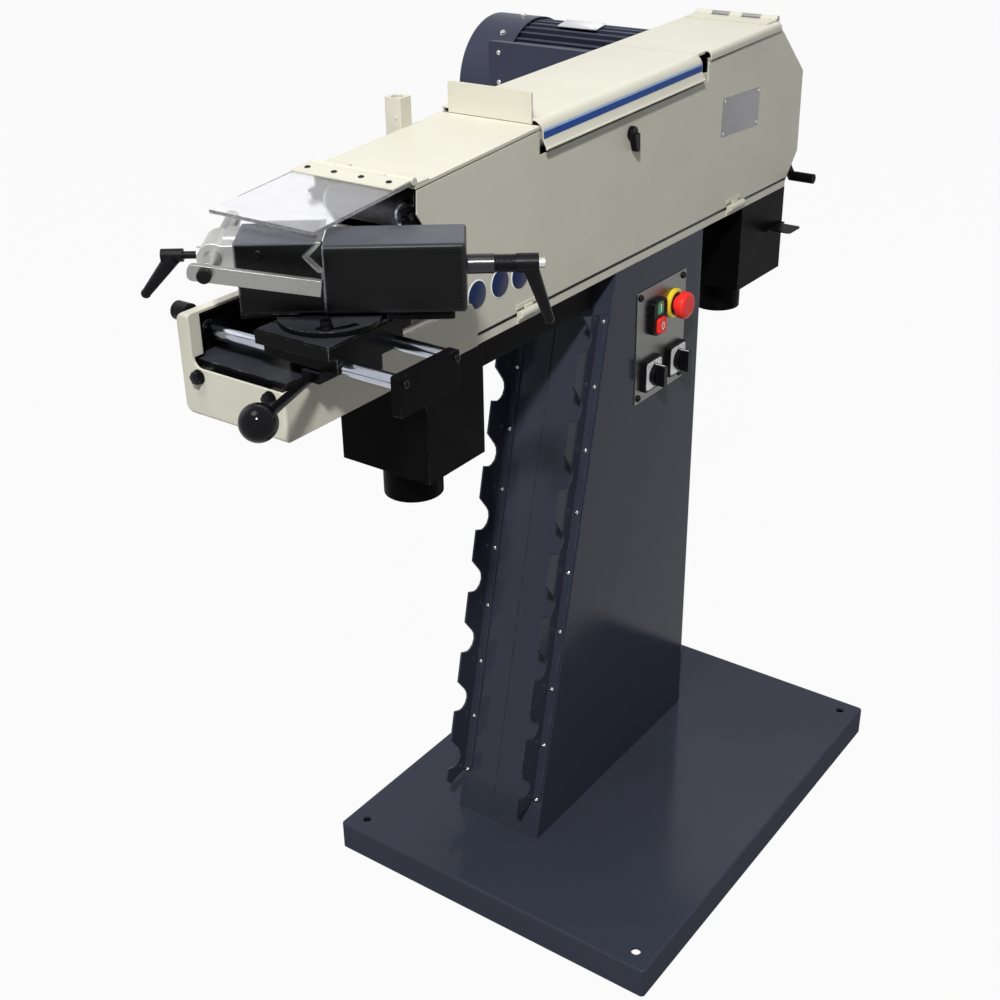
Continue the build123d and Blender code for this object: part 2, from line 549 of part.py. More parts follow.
def lid_hinge_fixed():
    """Lower half of the long lid hinge on the rear slope; it keeps the pin."""
    y, z = LID_AXIS_Y, LID_AXIS_Z
    x0, x1 = LID_KNUCKLES[0][0], LID_KNUCKLES[-1][1]
    foot = [(437, 1177), (443, 1177.3), (470, 1152.6), (472, 1154.8), (444, 1185.5), (437, 1186)]
    leaf = profile_x(foot, x0, x1)
    for start, end in LID_KNUCKLES:
        leaf -= rod_x(start - 0.4, end + 0.4, y, z, 6)
    for start, end in REST_KNUCKLES:
        leaf += rod_x(start, end, y, z, 5)
    return leaf + rod_x(x0, x1, y, z, 2)


def lid_hinge_leaf():
    """Upper half of the lid hinge, lying on the lid's rear end."""
    y, z = LID_AXIS_Y, LID_AXIS_Z
    top = lid_top(LID_REAR_Y)
    strip = [(404, top - 1.008), (432, top), (432, top + 2), (404, top + 0.992)]
    leaf = profile_x(strip, LID_KNUCKLES[0][0], LID_KNUCKLES[-1][1])
    for start, end in LID_KNUCKLES:
        leaf += rod_x(start, end, y, z, 5) + block(start, end, 430, y - 2, top + 0.2, top + 3)
    return leaf - rod_x(LID_KNUCKLES[0][0] - 1, LID_KNUCKLES[-1][1] + 1, y, z, 2 + RUN)


def shield_top(y):
    return SHIELD_FRONT_TOP + SHIELD_SLOPE * (y - SHIELD_FRONT_Y)


def spark_shield():
    """Clear sheet over the grinding point."""
    y0, y1 = SHIELD_FRONT_Y, SHIELD_REAR_Y
    points = [(y0, shield_top(y0) - SHIELD_T), (y0, shield_top(y0))]
    points += [(y1, shield_top(y1)), (y1, shield_top(y1) - SHIELD_T)]
    return profile_x(points, BODY_L + 1, BODY_R)


def shield_leaf():
    """Leaf screwed on the sheet with the middle knuckles."""
    y0, y1 = -504.0, -474.0
    points = [(y0, shield_top(y0)), (y0, shield_top(y0) + 2), (y1, shield_top(y1) + 2), (y1, shield_top(y1))]
    leaf = profile_x(points, BODY_L + 1, BODY_R)
    leaf += block(-112, -38, -476, SHIELD_AXIS_Y, 1146.2, 1148.2)
    leaf += rod_x(-112, -38, SHIELD_AXIS_Y, SHIELD_AXIS_Z, 4.5)
    return leaf - rod_x(-160, 10, SHIELD_AXIS_Y, SHIELD_AXIS_Z, 1.5 + RUN)


def shield_hinge_fixed():
    """Outer knuckles and pin on the front edge of the cover."""
    slope = (COVER_REAR_TOP - COVER_FRONT_TOP) / 244
    points = [(-466, COVER_FRONT_TOP), (-442, COVER_FRONT_TOP + 24 * slope)]
    points += [(-442, COVER_FRONT_TOP + 24 * slope + 2), (-466, COVER_FRONT_TOP + 3)]
    leaf = profile_x(points, BODY_L + 1, -112.4) + profile_x(points, -37.6, BODY_R)
    for x0, x1 in ((BODY_L + 1, -112.4), (-37.6, BODY_R)):
        leaf += rod_x(x0, x1, SHIELD_AXIS_Y, SHIELD_AXIS_Z, 4.5)
    return leaf + rod_x(BODY_L + 1, BODY_R, SHIELD_AXIS_Y, SHIELD_AXIS_Z, 1.5)


def tension_lever():
    """Flat arm on a pivot pin, reaching out through the rear slot to a round grip."""
    arm = Pos(-7.5, 480, 985) * Rot(-47.5, 0, 0) * (Pos(0, 40, 0) * Box(5, 82, 16))
    arm += rod_x(-10, -5, 480, 985, 11)
    arm += rod_x(-10, 33, 535, 925, 8)
    return arm - rod_x(-11, 0, 480, 985, 5 + RUN)


# Trough and carriage

def trough():
    """Folded trough in front of the head: high left wall with a lip, cut-down front, low right wall."""
    left, right, front, t = TROUGH_L, TROUGH_R, TROUGH_FRONT, TROUGH_SHEET
    body = block(left, right, front, TROUGH_REAR, HEAD_BOTTOM, TROUGH_HIGH)
    body = fillet(body.edges().filter_by(Axis.Y).group_by(Axis.X)[0], TROUGH_FOLD)
    body = fillet(body.faces().sort_by(Axis.Y)[0].edges(), TROUGH_BEND)
    body = offset(body, -t, openings=body.faces().sort_by(Axis.Y)[-1])
    post = left + POST_WIDTH
    opening = block(post, right + 1, front - 1, TROUGH_REAR + 1, TROUGH_LOW, TROUGH_HIGH + 1)
    body -= fillet(opening.edges().filter_by(Axis.Y).group_by(Axis.Z)[0].group_by(Axis.X)[0], TROUGH_FOLD)
    body -= block(left + t, post + 1, LIP_REAR, TROUGH_REAR + 1, TROUGH_HIGH - TROUGH_FOLD, TROUGH_HIGH + 1)
    behind, above = TROUGH_REAR + 1, TROUGH_HIGH + 1
    body -= profile_x([(behind, 959), (behind, above), (-415.9, above), (TROUGH_REAR, 960)], left - 1, right + 1)
    body += block(post - t, post, front + 1, front + 16, TROUGH_LOW + TROUGH_FOLD, TROUGH_HIGH - 1)
    body += block(left + t, right - t, GUIDE_REAR, GUIDE_REAR + 4, HEAD_BOTTOM + t, 978)
    body -= block(-140, -12, -449, -408, HEAD_BOTTOM - 1, HEAD_BOTTOM + t + 1)
    return body - rod_x(left - 1, left + t + 5, KNOB_Y, KNOB_Z, 4.3)


def guide_rods():
    """Two round guides for the feed, screwed from the front wall."""
    y0 = TROUGH_FRONT + TROUGH_SHEET
    return Compound(children=[rod_y(x, y0, GUIDE_REAR, GUIDE_Z, GUIDE_R) for x in GUIDE_X])


def lock_knob():
    """Round knob on the left wall; its stud bears on the carriage."""
    knob = rod_x(-172, TROUGH_L - 0.4, KNOB_Y, KNOB_Z, KNOB_R)
    knob = fillet(knob.edges().group_by(Axis.X)[0], 3)
    return knob + rod_x(TROUGH_L - 1, BAR_LEFT - 0.4, KNOB_Y, KNOB_Z, 4)


def saddle():
    """Carriage plate on the guides with an upright end that holds the cross bars."""
    y0, y1 = SADDLE_Y0, SADDLE_Y1
    body = block(BAR_LEFT + 6, -2, y0, y1, 950, 982)
    body += block(BAR_LEFT, BAR_LEFT + 6, y0, y1, 950, 1024)
    for y in BAR_Y:
        body += rod_x(BAR_LEFT + 5, BAR_LEFT + 9, y, BAR_Z, 11)
        body -= rod_x(BAR_LEFT - 1, 0, y, BAR_Z, BAR_R)
    for x in GUIDE_X:
        body -= rod_y(x, y0 - 1, y1 + 1, GUIDE_Z, GUIDE_R + RUN)
    return body


def cross_bars():
    return Compound(children=[rod_x(BAR_LEFT, BAR_RIGHT, y, BAR_Z, BAR_R) for y in BAR_Y])


def end_plate():
    plate = block(BAR_RIGHT, BAR_RIGHT + 12, -674, -576, 971, 1015)
    return fillet(plate.edges().filter_by(Axis.X), 3)


def slide_block():
    """Plate and housing that ride on the cross bars; the bores grip them past the middle."""
    x0, x1 = SLIDE_X0, SLIDE_X1
    body = block(x0, x1, SLIDE_Y0, SLIDE_Y1, SLIDE_BOTTOM, SLIDE_TOP)
    body = chamfer(body.edges().group_by(Axis.Z)[-1], 2)
    body += block(x0, x1, HOUSING_Y0, HOUSING_Y1, HOUSING_BOTTOM, SLIDE_BOTTOM)
    body += block(x0, x1, -640, -606, FOOT_BOTTOM, HOUSING_BOTTOM)
    lug = HANDLE_ROOT[0]
    body += block(lug - 12, lug + 12, HOUSING_Y0, -606, FOOT_BOTTOM, FOOT_BOTTOM + 12)
    for y in BAR_Y:
        body -= rod_x(x0 - 1, x1 + 1, y, BAR_Z, BAR_R + RUN)
    cx, cy = SWIVEL_CENTRE
    return body - rod_z(cx, cy, SLIDE_TOP - 18, SLIDE_TOP + 1, 10 + RUN)


def feed_handle():
    """Handle bar with a ball, screwed into the lug of the slide block."""
    bar = rod_between(HANDLE_ROOT, HANDLE_END, 4.8, 5.8)
    bar -= block(-30, 60, HOUSING_Y0, HOUSING_Y0 + 30, 900, 1100)
    return bar + Pos(*HANDLE_END) * Sphere(20)


def swivel_bolt():
    """Clamp bolt of the swivel, standing in the curved slot."""
    cx, cy = SWIVEL_CENTRE
    a = math.radians(VISE_ANGLE - 90)
    x, y = cx + SLOT_R * math.cos(a), cy + SLOT_R * math.sin(a)
    top = SLIDE_TOP + DISC_T
    bolt = rod_z(x, y, SLIDE_TOP, top + 0.3, 4)
    bolt += rod_z(x, y, top + 0.3, top + 2, 7.5) + rod_z(x, y, top + 2, top + 9, 6)
    return bolt - extrude(Pos(x, y, top + 5) * RegularPolygon(2.8, 6), 5)


def vise_bed():
    """Round swivel disc with a curved slot and the bed that carries both jaws."""
    z0 = SLIDE_TOP
    cx, cy = SWIVEL_CENTRE
    disc = rod_z(cx, cy, z0, z0 + DISC_T, DISC_R)
    start, sweep = VISE_ANGLE - 90 - 15, 60
    path = CenterArc((0, 0), SLOT_R, start, sweep)
    slot = Pos(cx, cy, z0 - 1) * extrude(trace(path, 2 * SLOT_HALF), DISC_T + 2)
    disc -= slot
    disc += rod_z(cx, cy, z0 - 16, z0 + 1, 10)
    top = z0 + DISC_T
    left = FIXED_JAW[0]
    bed = block(left, 133, -6, 33, top, top + BED_T) + block(62, 133, -30, 33, z0 + 1, top + BED_T)
    bed += block(left, -30, -30, 33, top, top + BED_T)
    bed = fillet(bed.edges().filter_by(Axis.Z).group_by(Axis.X)[-1], 4)
    return disc + on_vise(bed)


def fixed_jaw():
    """Left jaw with a V seat, nut bore and rounded lower front edge."""
    x0, x1, top = FIXED_JAW
    low = SLIDE_TOP + DISC_T + BED_T
    side = [(JAW_Y0 + JAW_STEP, low), (JAW_Y1, low), (JAW_Y1, top), (JAW_Y0, top)]
    side += [(JAW_Y0, JAW_STEP_Z), (JAW_Y0 + JAW_STEP, JAW_STEP_Z)]
    jaw = profile_x(side, x0, x1)
    ridges = jaw.edges().filter_by(Axis.X)
    jaw = fillet(ridges.group_by(Axis.Y)[0].group_by(Axis.Z)[0], 7)
    jaw = fillet(jaw.edges().filter_by(Axis.X).group_by(Axis.Z)[-1], 2)
    seat = [(x1 + 1, top + 1), (-6.5, top + 1), (-6.5, top - 2), (-20.5, TUBE_Z)]
    seat += [(-6.5, TUBE_Z - 16), (x1 + 1, TUBE_Z - 16)]
    jaw -= profile_y(seat, JAW_Y0 - 1, JAW_Y1 + 1)
    return on_vise(jaw - rod_x(-78, 0, 0, SCREW_Z, THREAD_R + 0.3))


def v_insert():
    """Hardened V lining of the fixed jaw."""
    tip = FIXED_JAW[1]
    top = FIXED_JAW[2]
    points = [(tip, top), (-6.5, top), (-6.5, top - 2), (-20.5, TUBE_Z), (-6.5, TUBE_Z - 16), (tip, TUBE_Z - 16)]
    points += [(tip, TUBE_Z - 13), (-14.5, TUBE_Z), (tip, TUBE_Z + 13)]
    return on_vise(profile_y(points, JAW_Y0, JAW_Y1))


def moving_jaw():
    """Right jaw: a block with well rounded edges, bored for the clamp screw."""
    x0, x1, top = MOVING_JAW
    low = SLIDE_TOP + DISC_T + BED_T + 0.3
    jaw = block(x0, x1, JAW_Y0, JAW_Y1, low, top)
    jaw = fillet(jaw.edges().filter_by(Axis.X), 5)
    jaw = fillet(jaw.edges().group_by(Axis.X)[-1], 4)
    return on_vise(jaw - rod_x(x0 - 1, x1 + 1, 0, SCREW_Z, THREAD_R + RUN))


def clamp_screw():
    """Clamp screw with its bearing collar and the reduced end for the handle."""
    end = MOVING_JAW[1]
    screw = rod_x(-76, end + 30, 0, SCREW_Z, THREAD_R)
    screw += rod_x(end + 0.3, end + 29, 0, SCREW_Z, 10.5)
    screw += rod_x(end + 29, end + 52, 0, SCREW_Z, 9)
    return on_vise(screw)


def clamp_lever():
    """Cranked clamping handle with a capped hub."""
    end = MOVING_JAW[1] + 52
    lever = rod_x(end, end + 24, 0, SCREW_Z, 10.5)
    lever += rod_x(end + 24, end + 31, 0, SCREW_Z, 5)
    lever += rod_between((end + 15, 0, SCREW_Z - 4), (end + 35, 0, 1022), 8.5, 5.5)
    lever += Pos(end + 35, 0, 1022) * Sphere(5.8)
    return on_vise(lever)


def stop_clamp_block():
    """Cast clamp on the left of the fixed jaw, bored for the stop rod."""
    body = rod_y(STOP_X, -34, 22, STOP_Z, 16.5)
    face = FIXED_JAW[0]
    body += block(STOP_X, face, -34, 22, STOP_Z - 26, STOP_Z + 14)
    body += block(face - 14, face, -10, 30, STOP_Z - 26, STOP_Z + 16)
    body += rod_x(-134, STOP_X, -8, LEVER_Z, 9)
    body -= rod_y(STOP_X, -40, 40, STOP_Z, STOP_R + 0.03)
    return on_vise(body - rod_x(-140, -124, -8, LEVER_Z, 4.3))


def stop_rod():
    return on_vise(rod_y(STOP_X, -74, 103, STOP_Z, STOP_R) - rod_y(STOP_X, -75, -54, STOP_Z, 4.2))


def stop_bar():
    """Flat length stop on the front end of the rod, held by a cap screw."""
    bar = Pos(49, -78.2, 0) * Box(134, 7.6, 16.5)
    bar = fillet(bar.edges().filter_by(Axis.Y).group_by(Axis.X)[0], 6)
    bar += rod_y(0, -90, -82, 0, 7) + rod_y(0, -74.4, -56, 0, 4)
    return on_vise(Pos(STOP_X, 0, STOP_Z) * Rot(0, STOP_TILT, 0) * bar)


def stop_lever():
    """Cranked locking lever of the stop rod."""
    lever = rod_x(-149, -126, -8, LEVER_Z, 4) + rod_x(-172, -149, -8, LEVER_Z, 7)
    lever += rod_between((-160, -8, LEVER_Z - 2), (-193, -8, 1062), 8.5, 5)
    return on_vise(lever + Pos(-193, -8, 1062) * Sphere(5.4))


NODES = {
    "base_tray": base_tray(),
    "column": column(),
    "hook_racks": Compound(children=[rack(RACK_LEFT_X), rack(RACK_RIGHT_X)]),
    "control_plate": control_plate(),
    "pushbutton_box": pushbutton_box(),
    "start_button": push_button(START_BUTTON),
    "stop_button": push_button(STOP_BUTTON),
    "estop_collar": estop_collar(),
    "estop_mushroom": estop_mushroom(),
    "selector_bases": selector_bases(),
    "selector_knob_front": selector_knob(SELECTOR_Y[0]),
    "selector_knob_rear": selector_knob(SELECTOR_Y[1]),
    "head_casing": head_casing(),
    "front_cover": front_cover(),
    "side_plates": side_plates(),
    "roller_axle": roller_axle(),
    "contact_roller": contact_roller(),
    "abrasive_belt": abrasive_belt(),
    "platen": platen(),
    "drive_wheel": drive_wheel(),
    "wheel_bolt": wheel_bolt(),
    "motor_housing": motor_housing(),
    "motor_shields": motor_shields(),
    "fan_cowl": fan_cowl(),
    "motor_rotor": motor_rotor(),
    "motor_fan": motor_fan(),
    "terminal_box": terminal_box(),
    "hopper_front": hopper_front(),
    "hopper_rear": hopper_rear(),
    "damper_slide": damper_slide(),
    "side_door": side_door(),
    "latch_knob": latch_knob(),
    "door_hinge_lower": Compound(children=[hinge_along_y(y, True) for y in DOOR_HINGES_Y]),
    "door_hinge_upper": Compound(children=[hinge_along_y(y, False) for y in DOOR_HINGES_Y]),
    "top_lid": top_lid(),
    "lid_hinge_fixed": lid_hinge_fixed(),
    "lid_hinge_leaf": lid_hinge_leaf(),
    "spark_shield": spark_shield(),
    "shield_leaf": shield_leaf(),
    "shield_hinge_fixed": shield_hinge_fixed(),
    "tension_lever": tension_lever(),
    "trough": trough(),
    "guide_rods": guide_rods(),
    "lock_knob": lock_knob(),
    "saddle": saddle(),
    "cross_bars": cross_bars(),
    "end_plate": end_plate(),
    "slide_block": slide_block(),
    "feed_handle": feed_handle(),
    "swivel_bolt": swivel_bolt(),
    "vise_bed": vise_bed(),
    "fixed_jaw": fixed_jaw(),
    "v_insert": v_insert(),
    "moving_jaw": moving_jaw(),
    "clamp_screw": clamp_screw(),
    "clamp_lever": clamp_lever(),
    "stop_clamp_block": stop_clamp_block(),
    "stop_rod": stop_rod(),
    "stop_bar": stop_bar(),
    "stop_lever": stop_lever(),
}

for name, shape in NODES.items():
    export_step(shape, f"parts/{name}.step")
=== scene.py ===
import math

import bmesh
import bpy
from bpy.props import FloatProperty, FloatVectorProperty, IntProperty, PointerProperty
from mathutils import Matrix, Vector


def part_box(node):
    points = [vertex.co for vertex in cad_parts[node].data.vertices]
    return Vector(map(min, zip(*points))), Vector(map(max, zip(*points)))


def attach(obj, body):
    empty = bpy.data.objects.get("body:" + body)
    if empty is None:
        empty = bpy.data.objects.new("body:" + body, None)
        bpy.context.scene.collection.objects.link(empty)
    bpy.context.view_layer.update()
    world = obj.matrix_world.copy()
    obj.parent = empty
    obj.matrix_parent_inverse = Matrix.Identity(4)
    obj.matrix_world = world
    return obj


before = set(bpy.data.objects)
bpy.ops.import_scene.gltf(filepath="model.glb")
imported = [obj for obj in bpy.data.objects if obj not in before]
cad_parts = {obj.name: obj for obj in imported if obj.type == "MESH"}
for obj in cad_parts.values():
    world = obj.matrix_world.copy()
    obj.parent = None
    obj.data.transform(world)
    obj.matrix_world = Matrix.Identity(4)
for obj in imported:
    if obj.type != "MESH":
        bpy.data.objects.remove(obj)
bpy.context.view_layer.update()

bl_info = {
    "name": "Tube Belt Grinder",
    "version": (1, 0, 0),
    "blender": (4, 5, 0),
    "location": "View3D > Sidebar > Grinder",
    "description": "Finishes and small parts of a pedestal belt grinder for tube ends",
    "category": "Object",
}

# Directions: the vise and the trough are at the front, the door is on the right
RIGHT = Vector((1.0, 0.0, 0.0))
FRONT = Vector((0.0, -1.0, 0.0))
BACK = Vector((0.0, 1.0, 0.0))
UP = Vector((0.0, 0.0, 1.0))

# Faces of the loaded machine and the middle of its casing, in metres
DOOR_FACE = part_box("side_door")[1].x
PLATE_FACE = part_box("control_plate")[1].x
SWITCH_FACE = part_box("selector_bases")[1].x
SHEET_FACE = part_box("column")[1].x
TROUGH_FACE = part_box("trough")[0].y
LEFT_WALL = -0.151
CASING_MIDDLE = (-0.075, 0.030, 1.040)

# Sloping front of the column
COLUMN_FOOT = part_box("column")[0]
COLUMN_LEAN = 0.2318

# Lid: its top, the bend into its lip, the lip's foot and the run of its front section
LID_LEVEL, LID_SLOPE = 1.172, 0.036
LID_FACE, LID_BEND = 0.004, 0.016
LID_FOOT_X, LID_FOOT_DEPTH = 0.010, 0.035
LID_FRONT, LID_SEAM = -0.2200, 0.1810

# Front edge and slope of the clear shield
SHIELD_FRONT, SHIELD_LEVEL = -0.634, 1.131
SHIELD_SLOPE = 0.094

# Vise, turned on its disc
VISE_TURN = math.radians(36.5)
VISE_ORIGIN = Vector((-0.008, -0.606, 0.0))
VISE_ALONG = Vector((math.cos(VISE_TURN), math.sin(VISE_TURN), 0.0))
VISE_ACROSS = Vector((-math.sin(VISE_TURN), math.cos(VISE_TURN), 0.0))
SCREW_HEIGHT = 1.085
STOP_HEIGHT = 1.106

# Motor
MOTOR_AXIS = Vector((0.0, 0.350, 1.068))
COWL_RADIUS = 0.106

# Thickness of the films, marks and flush plates
FILM = 0.0003

# Distances below which points are merged, or count as level
MERGE, LEVEL = 1e-6, 1e-7

# What shows through and lies on the paint: bare metal at chips, a painted edge highlight, painted shade on
# inner faces, and dust with a painted sheen
CHIPPED = (0.45, 0.44, 0.42, 1.0)
EDGE_HIGHLIGHT = (0.34, 0.35, 0.38, 1.0)
INTERIOR_SHADE = (0.012, 0.011, 0.010, 1.0)
DUST_AND_SHEEN = (0.100, 0.103, 0.128, 1.0)

# Dullness of scuffed paint on upright faces
SCUFFED_ROUGHNESS = 0.75

# Stretch of the fine lines in bare metal
LINES_ALONG_X = (0.03, 1.0, 1.0)
LINES_ALONG_Y = (1.0, 0.03, 1.0)
LONG_LINES_ALONG_Y = (1.0, 0.02, 1.0)
LINES_ROUND_X = (1.0, 0.1, 0.1)
NO_LINES = (1.0, 1.0, 1.0)

# Lamps: name, place, side, and the setting that holds the power
LAMPS = (
    ("key_light", (1.60, -2.90, 3.80), 0.30, "key"),
    ("overhead_light", (-0.30, -1.80, 4.50), 1.6, "overhead"),
    ("fill_light", (-2.6, -0.8, 2.4), 2.0, "fill"),
    ("back_light", (-0.6, 2.4, 3.2), 2.2, "back"),
)
LAMP_AIM = Vector((-0.05, -0.1, 0.8))

# Floor and background: the floor's tones and its share of plain white, the tint of the even light
# and the white behind everything
FLOOR_RADIUS = 40.0
FLOOR_DARK = (0.27, 0.27, 0.27, 1.0)
FLOOR_PALE = (0.31, 0.31, 0.31, 1.0)
FLOOR_WHITE = 0.95
SKY_TINT = (0.95, 0.97, 1.0, 1.0)
BACKGROUND = (0.957, 0.957, 0.957, 1.0)

# Width of the camera's sensor, in millimetres
SENSOR_WIDTH = 36.0


# Colours, sizes and lights a user may change

def colour(name, description, default):
    return FloatVectorProperty(name=name, description=description, default=default,
                               subtype="COLOR", size=3, min=0.0, max=1.0)


def length(name, description, default):
    return FloatProperty(name=name, description=description, default=default, min=0.0, unit="LENGTH")


def turn(name, description, degrees):
    return FloatProperty(name=name, description=description, default=math.radians(degrees),
                         subtype="ANGLE")


def watts(name, description, default):
    return FloatProperty(name=name, description=description, default=default, min=0.0, unit="POWER")


class GrinderColours(bpy.types.PropertyGroup):
    """Colours of the machine's finishes."""

    ivory: colour("Ivory", "Paint of the head, lid and trough", (0.620, 0.604, 0.504))
    stand: colour("Stand", "Blue-grey enamel of the base and column", (0.040, 0.046, 0.068))
    black: colour("Black", "Satin black paint of the hoppers and the vise", (0.0035, 0.0035, 0.004))
    motor: colour("Motor", "Dark blue-grey paint of the motor", (0.038, 0.042, 0.069))
    grain: colour("Abrasive", "Grain of the belt", (0.044, 0.046, 0.056))
    stripe: colour("Stripe", "Blue trim on the lid", (0.006, 0.062, 0.31))
    navy: colour("Navy", "Round plates on the door", (0.005, 0.017, 0.080))
    red: colour("Red", "Stop button and mushroom head", (1.0, 0.038, 0.03))
    yellow: colour("Yellow", "Collar of the mushroom head", (0.92, 0.68, 0.03))
    green: colour("Green", "Start button", (0.012, 0.30, 0.11))


class GrinderSizes(bpy.types.PropertyGroup):
    """Sizes of the small parts that are added to the machine."""

    rack_screw: length("Rack screw", "Head radius of the screws in the rack flanges", 0.0033)
    rack_screws: IntProperty(name="Rack screws", description="Screws in each rack", default=9, min=2)
    plate_screw: length("Plate screw", "Head radius of the control plate's screws", 0.0052)
    switch_face: length("Switch face", "Side of the white face on each rotary switch", 0.0435)
    trough_bolt: length("Trough bolt", "Head radius of the bolts in the trough's front", 0.0075)
    round_plate: length("Round plate", "Radius of the round plates on the door", 0.0192)
    hem: length("Hem", "Radius of the hem along the lid's lip", 0.0016)
    # The seal is a dark strip of painted shade along the gap under the door
    seal: length("Seal", "Height of the dark seal under the door", 0.0030)
    stripe: length("Stripe", "Height of the blue trim on the lid", 0.0085)
    stripe_border: length("Stripe border", "Height of the pale edge above the blue trim", 0.0032)


class GrinderStage(bpy.types.PropertyGroup):
    """Viewpoint and light."""

    eye: FloatVectorProperty(name="Eye", description="Place of the camera", subtype="TRANSLATION",
                             default=(0.9944, -1.6797, 1.5670), unit="LENGTH")
    azimuth: turn("Azimuth", "Turn of the view round the machine", 36.12)
    elevation: turn("Elevation", "Tilt of the view downwards", 27.62)
    roll: turn("Roll", "Turn of the picture round its middle", -0.96)
    lens: FloatProperty(name="Lens", description="Focal length", default=51.79, unit="CAMERA")
    key: watts("Key light", "Power of the light above the camera", 162.0)
    overhead: watts("Overhead light", "Power of the soft light over the head", 78.0)
    fill: watts("Fill light", "Power of the light on the motor side", 10.0)
    back: watts("Back light", "Power of the light behind", 15.0)
    sky: FloatProperty(name="Sky", description="Strength of the even light all round",
                       default=0.085, min=0.0)


# Finishes

class Finish:
    """A material under construction: its nodes, its shader and the piece's own coordinates."""

    def __init__(self, name):
        self.material = bpy.data.materials.new(name)
        self.material.use_nodes = True
        self.tree = self.material.node_tree
        self.shader = self.tree.nodes["Principled BSDF"]
        self.coords = self.node("ShaderNodeTexCoord").outputs["Object"]

    def feed(self, socket, value):
        """Link another node's output to a socket, or set a constant on it."""
        if isinstance(value, bpy.types.NodeSocket):
            self.tree.links.new(value, socket)
        else:
            socket.default_value = value

    def node(self, kind, inputs=None, **settings):
        """New node with its settings made and its inputs fed."""
        made = self.tree.nodes.new(kind)
        for key, value in settings.items():
            setattr(made, key, value)
        for key, value in (inputs or {}).items():
            self.feed(made.inputs[key], value)
        return made

    def stretched(self, scale):
        """Coordinates scaled along each axis, which draws a pattern out."""
        return self.node("ShaderNodeMapping", {"Vector": self.coords, "Scale": scale}).outputs["Vector"]

    def noise(self, scale, detail=2.0, roughness=0.5, vector=None):
        inputs = {"Vector": vector or self.coords, "Scale": scale, "Detail": detail, "Roughness": roughness}
        return self.node("ShaderNodeTexNoise", inputs).outputs["Fac"]

    def cells(self, scale):
        return self.node("ShaderNodeTexVoronoi", {"Vector": self.coords, "Scale": scale}).outputs["Distance"]

    def levels(self, value, low, high, to_low=0.0, to_high=1.0):
        """A value's range from low to high, spread over another range and held at its ends."""
        inputs = {"Value": value, "From Min": low, "From Max": high, "To Min": to_low, "To Max": to_high}
        return self.node("ShaderNodeMapRange", inputs).outputs["Result"]

    def times(self, a, b):
        return self.node("ShaderNodeMath", {0: a, 1: b}, operation="MULTIPLY").outputs["Value"]

    def plus(self, a, b):
        return self.node("ShaderNodeMath", {0: a, 1: b}, operation="ADD").outputs["Value"]

    def mixed(self, factor, a, b):
        """Blend of two colours, whose sockets follow those for numbers and vectors on the node."""
        return self.node("ShaderNodeMix", {0: factor, 6: a, 7: b}, data_type="RGBA").outputs[2]

    def normal(self):
        return self.node("ShaderNodeNewGeometry").outputs["Normal"]

    def part(self, vector, axis):
        return self.node("ShaderNodeSeparateXYZ", {0: vector}).outputs[axis]

    def dot(self, a, b):
        return self.node("ShaderNodeVectorMath", {0: a, 1: b}, operation="DOT_PRODUCT").outputs["Value"]

    def edges(self, radius, low=0.02, high=0.35):
        """Mask that is bright where the surface turns a corner, with the rounded normal."""
        soft = self.node("ShaderNodeBevel", {"Radius": radius}, samples=6).outputs["Normal"]
        return self.levels(self.dot(soft, self.normal()), 1.0 - low, 1.0 - high), soft

    def bump(self, height, strength, distance, normal=None):
        inputs = {"Height": height, "Strength": strength, "Distance": distance}
        if normal:
            inputs["Normal"] = normal
        return self.node("ShaderNodeBump", inputs).outputs["Normal"]

    def wire(self, **sockets):
        """Feed the shader's sockets, named with underscores, and hand the material over."""
        for key, value in sockets.items():
            self.feed(self.shader.inputs[key.replace("_", " ")], value)
        return self.material


def shade(tint, factor):
    """The same colour made lighter or darker, with its alpha."""
    return tuple(min(1.0, c * factor) for c in tint) + (1.0,)


def inward_shade(f, middle, cloud):
    """Mask of painted shade on the faces that look towards a middle, apart from the outside of the left wall.
    """
    inward = f.node("ShaderNodeVectorMath", {0: middle, 1: f.coords}, operation="SUBTRACT").outputs["Vector"]
    walls = f.levels(f.part(f.coords, "X"), LEFT_WALL + 0.0004, LEFT_WALL + 0.0008)
    patches = f.times(walls, f.levels(cloud, 0.2, 0.6, 0.9, 1.0))
    return f.times(f.levels(f.dot(inward, f.normal()), 0.001, 0.004), patches)


def upper_dust_and_sheen(f, amount):
    """Mask of the dust and painted sheen that lie in patches on upper faces."""
    upper = f.levels(f.part(f.normal(), "Z"), 0.80, 0.98, 0.0, amount)
    patches = f.noise(scale=7.0, detail=5.0, roughness=0.6)
    return f.times(upper, f.levels(patches, 0.25, 0.6, 0.45, 1.0))


